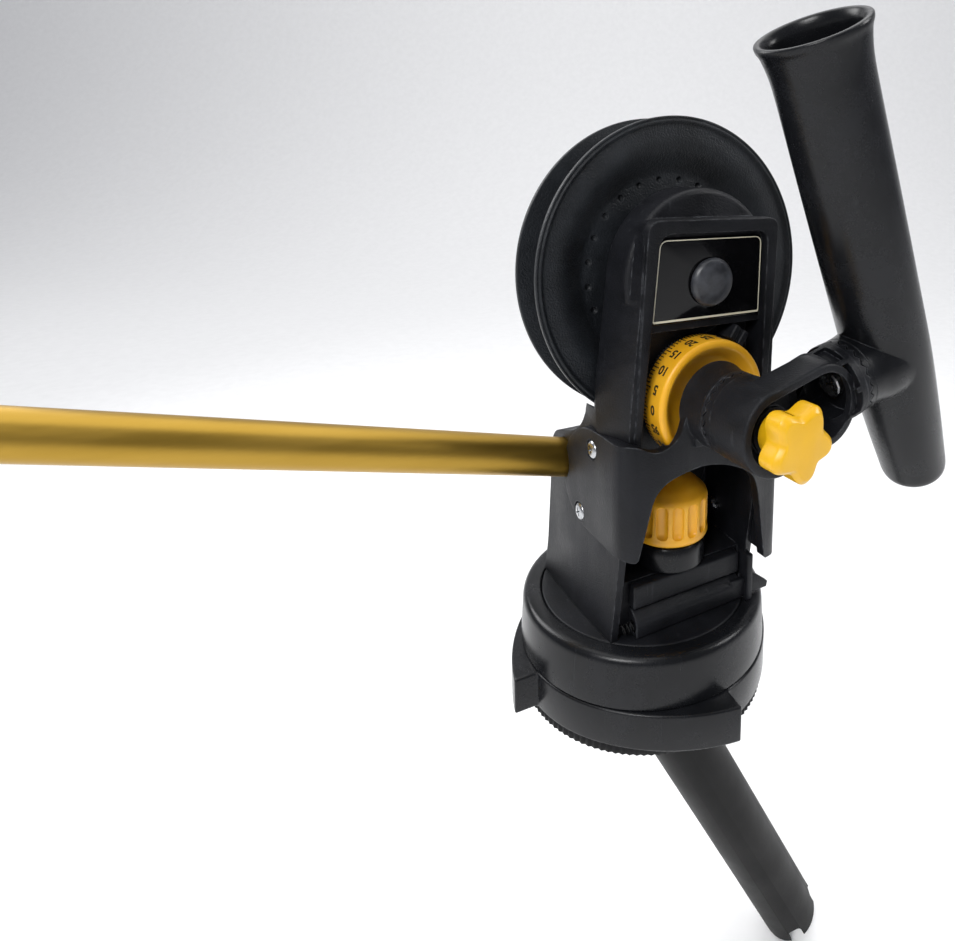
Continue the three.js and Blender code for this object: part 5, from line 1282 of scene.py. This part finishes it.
@dataclass
class Fixings:
    """The screws in sight, and the finishes of the CAD nodes that stay."""

    head: float = 4.6
    kept: dict[str, Finish] = field(default_factory=lambda: {
        "stainless": STEEL, "bush_brass": BRASS, "grey_acetal": GREY, "grey_cap": CAP,
        "black_nylon": NYLON, "black_anodised": BLACK_ALLOY, "gloss_black": LABEL,
        "amber_plastic": AMBER, "lemon_plastic": LEMON, "gold_anodised": GOLD})
    # the elbow washer gets the darkened nylon as painted shade, so that it reads as the shadow under the star
    # knob
    # the latch spring's near-black steel is partly its phosphated finish and partly painted shade for the dark
    # recess beside the latch
    special: dict[str, Finish] = field(default_factory=lambda: {
        "latch_spring": SPRING_STEEL_PAINTED_SHADE, "elbow_washer": NYLON_PAINTED_SHADE, "neck_nut": BLACK_ALLOY})

    def cheek_screws(self) -> None:
        """Models one pan-head screw with a cross recess and copies it to the four cheeks."""
        profile = rounded([(0, -9), (2, -9), (2, 0), (self.head, 0), (4.5, 0.9), (3.6, 1.7), (2, 2), (0, 2)],
                          [0, 0.3, 0, 0.3, 0.8, 1, 0.5, 0], 5, False)
        screw = lathe("screw", profile, 48)
        for turn in (0, math.pi / 2):
            cross = prism("cross", [(-2.3, -0.45), (2.3, -0.45), (2.3, 0.45), (-2.3, 0.45)], 0.8, 3)
            shaped(screw, CUT, moved(cross, spun("Z", turn + 0.5)))
        for i, (side, y, z) in enumerate(Body.cheeks):
            seat = at(side * 48.1, y, z) @ spun("Y", side * math.pi / 2)
            copy = duplicate(screw, seat)
            copy.name = f"cheek_screw_{i + 1}_piece"
            finished(copy, "housing", STEEL, BODY, [f"cheek_screw_{i + 1}"])
        bpy.data.objects.remove(screw)

    def keep(self, frame: dict) -> None:
        """Gives the CAD nodes that stay in sight a finish, by their slot or else by their name.
        """
        for node in frame["nodes"].values():
            packed = node.data.materials[0].name if node.data.materials else ""
            finish = next((one for slot, one in self.kept.items() if packed.startswith(slot)), STEEL)
            node.data.materials.clear()
            node.data.materials.append(self.special.get(node.name, finish).material())


@dataclass
class Studio:
    """The pale floor, the soft lights and the camera."""

    spot: tuple[float, float, float] = (-0.19649, -0.32082, 0.2978)
    azimuth: float = math.radians(-31.44)
    elevation: float = math.radians(7.29)
    roll: float = math.radians(0.62)
    focal: float = 679.43
    centre: tuple[float, float] = (645.41, 259.81)
    size: tuple[int, int] = (955, 941)
    sensor: float = 36

    def camera(self) -> None:
        """Adds the camera at the photograph's viewing angle."""
        data = bpy.data.cameras.new("camera")
        data.sensor_width, data.sensor_fit = self.sensor, "HORIZONTAL"
        data.lens = self.focal / self.size[0] * self.sensor
        data.shift_x = (self.size[0] / 2 - self.centre[0]) / self.size[0]
        data.shift_y = (self.centre[1] - self.size[1] / 2) / self.size[0]
        data.clip_start = 0.01
        camera = bpy.data.objects.new("camera", data)
        bpy.context.scene.collection.objects.link(camera)
        az, el = self.azimuth, self.elevation
        back = Vector((math.sin(az) * math.cos(el), -math.cos(az) * math.cos(el), math.sin(el)))
        right = Vector((math.cos(az), math.sin(az), 0))
        turned = Matrix((right, back.cross(right), back)).transposed().to_4x4()
        camera.matrix_world = at(*self.spot) @ turned @ spun("Z", self.roll)
        bpy.context.scene.camera = camera

    def floor(self) -> None:
        """Lays a pale paper sweep: a floor that curves up into a wall behind the object."""
        line = rounded([(-8, 0, 0), (4.5, 0, 0), (4.5, 0, 9)], [0, 2.2, 0], 16, False)
        sweep = chain("floor", line)
        in_edit(sweep, lambda: bpy.ops.mesh.extrude_region_move(TRANSFORM_OT_translate={"value": (0, 18, 0)}))
        moved(sweep, at(0, 0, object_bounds()[0][2] - 0.001)
              @ spun("Z", math.pi / 2 + self.azimuth) @ at(0, -9, 0))
        activate(sweep)
        bpy.ops.object.shade_smooth()
        paper = Finish("paper_sweep", "f6f6f6", "f2f2f2", (0.7, 0.8), grain_mm=3, grain_depth=0.0)
        sweep.data.materials.append(paper.material())
        sweep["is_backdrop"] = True

    def lights(self) -> None:
        """Sets the soft boxes and the even light round the object."""
        bpy.context.scene.view_settings.view_transform = "Standard"
        world = bpy.data.worlds.new("studio")
        bpy.context.scene.world = world
        world.use_nodes = True
        world.node_tree.nodes["Background"].inputs[0].default_value = colour("f4f6ff")
        world.node_tree.nodes["Background"].inputs[1].default_value = 0.28
        for name, spot, aim, size, power in (("ceiling", (0.6, 1.0, 4.6), (0.6, 1.0, 0), 6.0, 210),
                ("key", (-1.0, -0.8, 1.1), (0, 0, 0.2), 0.55, 17),
                ("side", (1.0, -0.7, 0.9), (0, 0, 0.2), 0.4, 7),
                ("rim", (-0.6, 0.9, 0.9), (0, 0, 0.2), 0.6, 9)):
            lamp = bpy.data.lights.new(name, "AREA")
            lamp.size, lamp.energy = size, power
            holder = bpy.data.objects.new(name, lamp)
            bpy.context.scene.collection.objects.link(holder)
            holder.location = spot
            holder.rotation_euler = (Vector(spot) - Vector(aim)).to_track_quat("Z", "Y").to_euler()

    def build(self) -> None:
        """Sets up the studio."""
        self.camera()
        self.floor()
        self.lights()


def main() -> None:
    """Builds the scene: the studio, then each sub-assembly."""
    logging.basicConfig(level=logging.INFO, format="%(name)s %(message)s")
    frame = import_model()
    fixings = Fixings()
    fixings.keep(frame)
    Studio().build()
    for assembly in (Base(), Body(), Spool(), Counter(), RodHolder(), Boom()):
        log.info("building %s", type(assembly).__name__)
        assembly.build()
    fixings.cheek_screws()


if __name__ == "__main__":
    main()
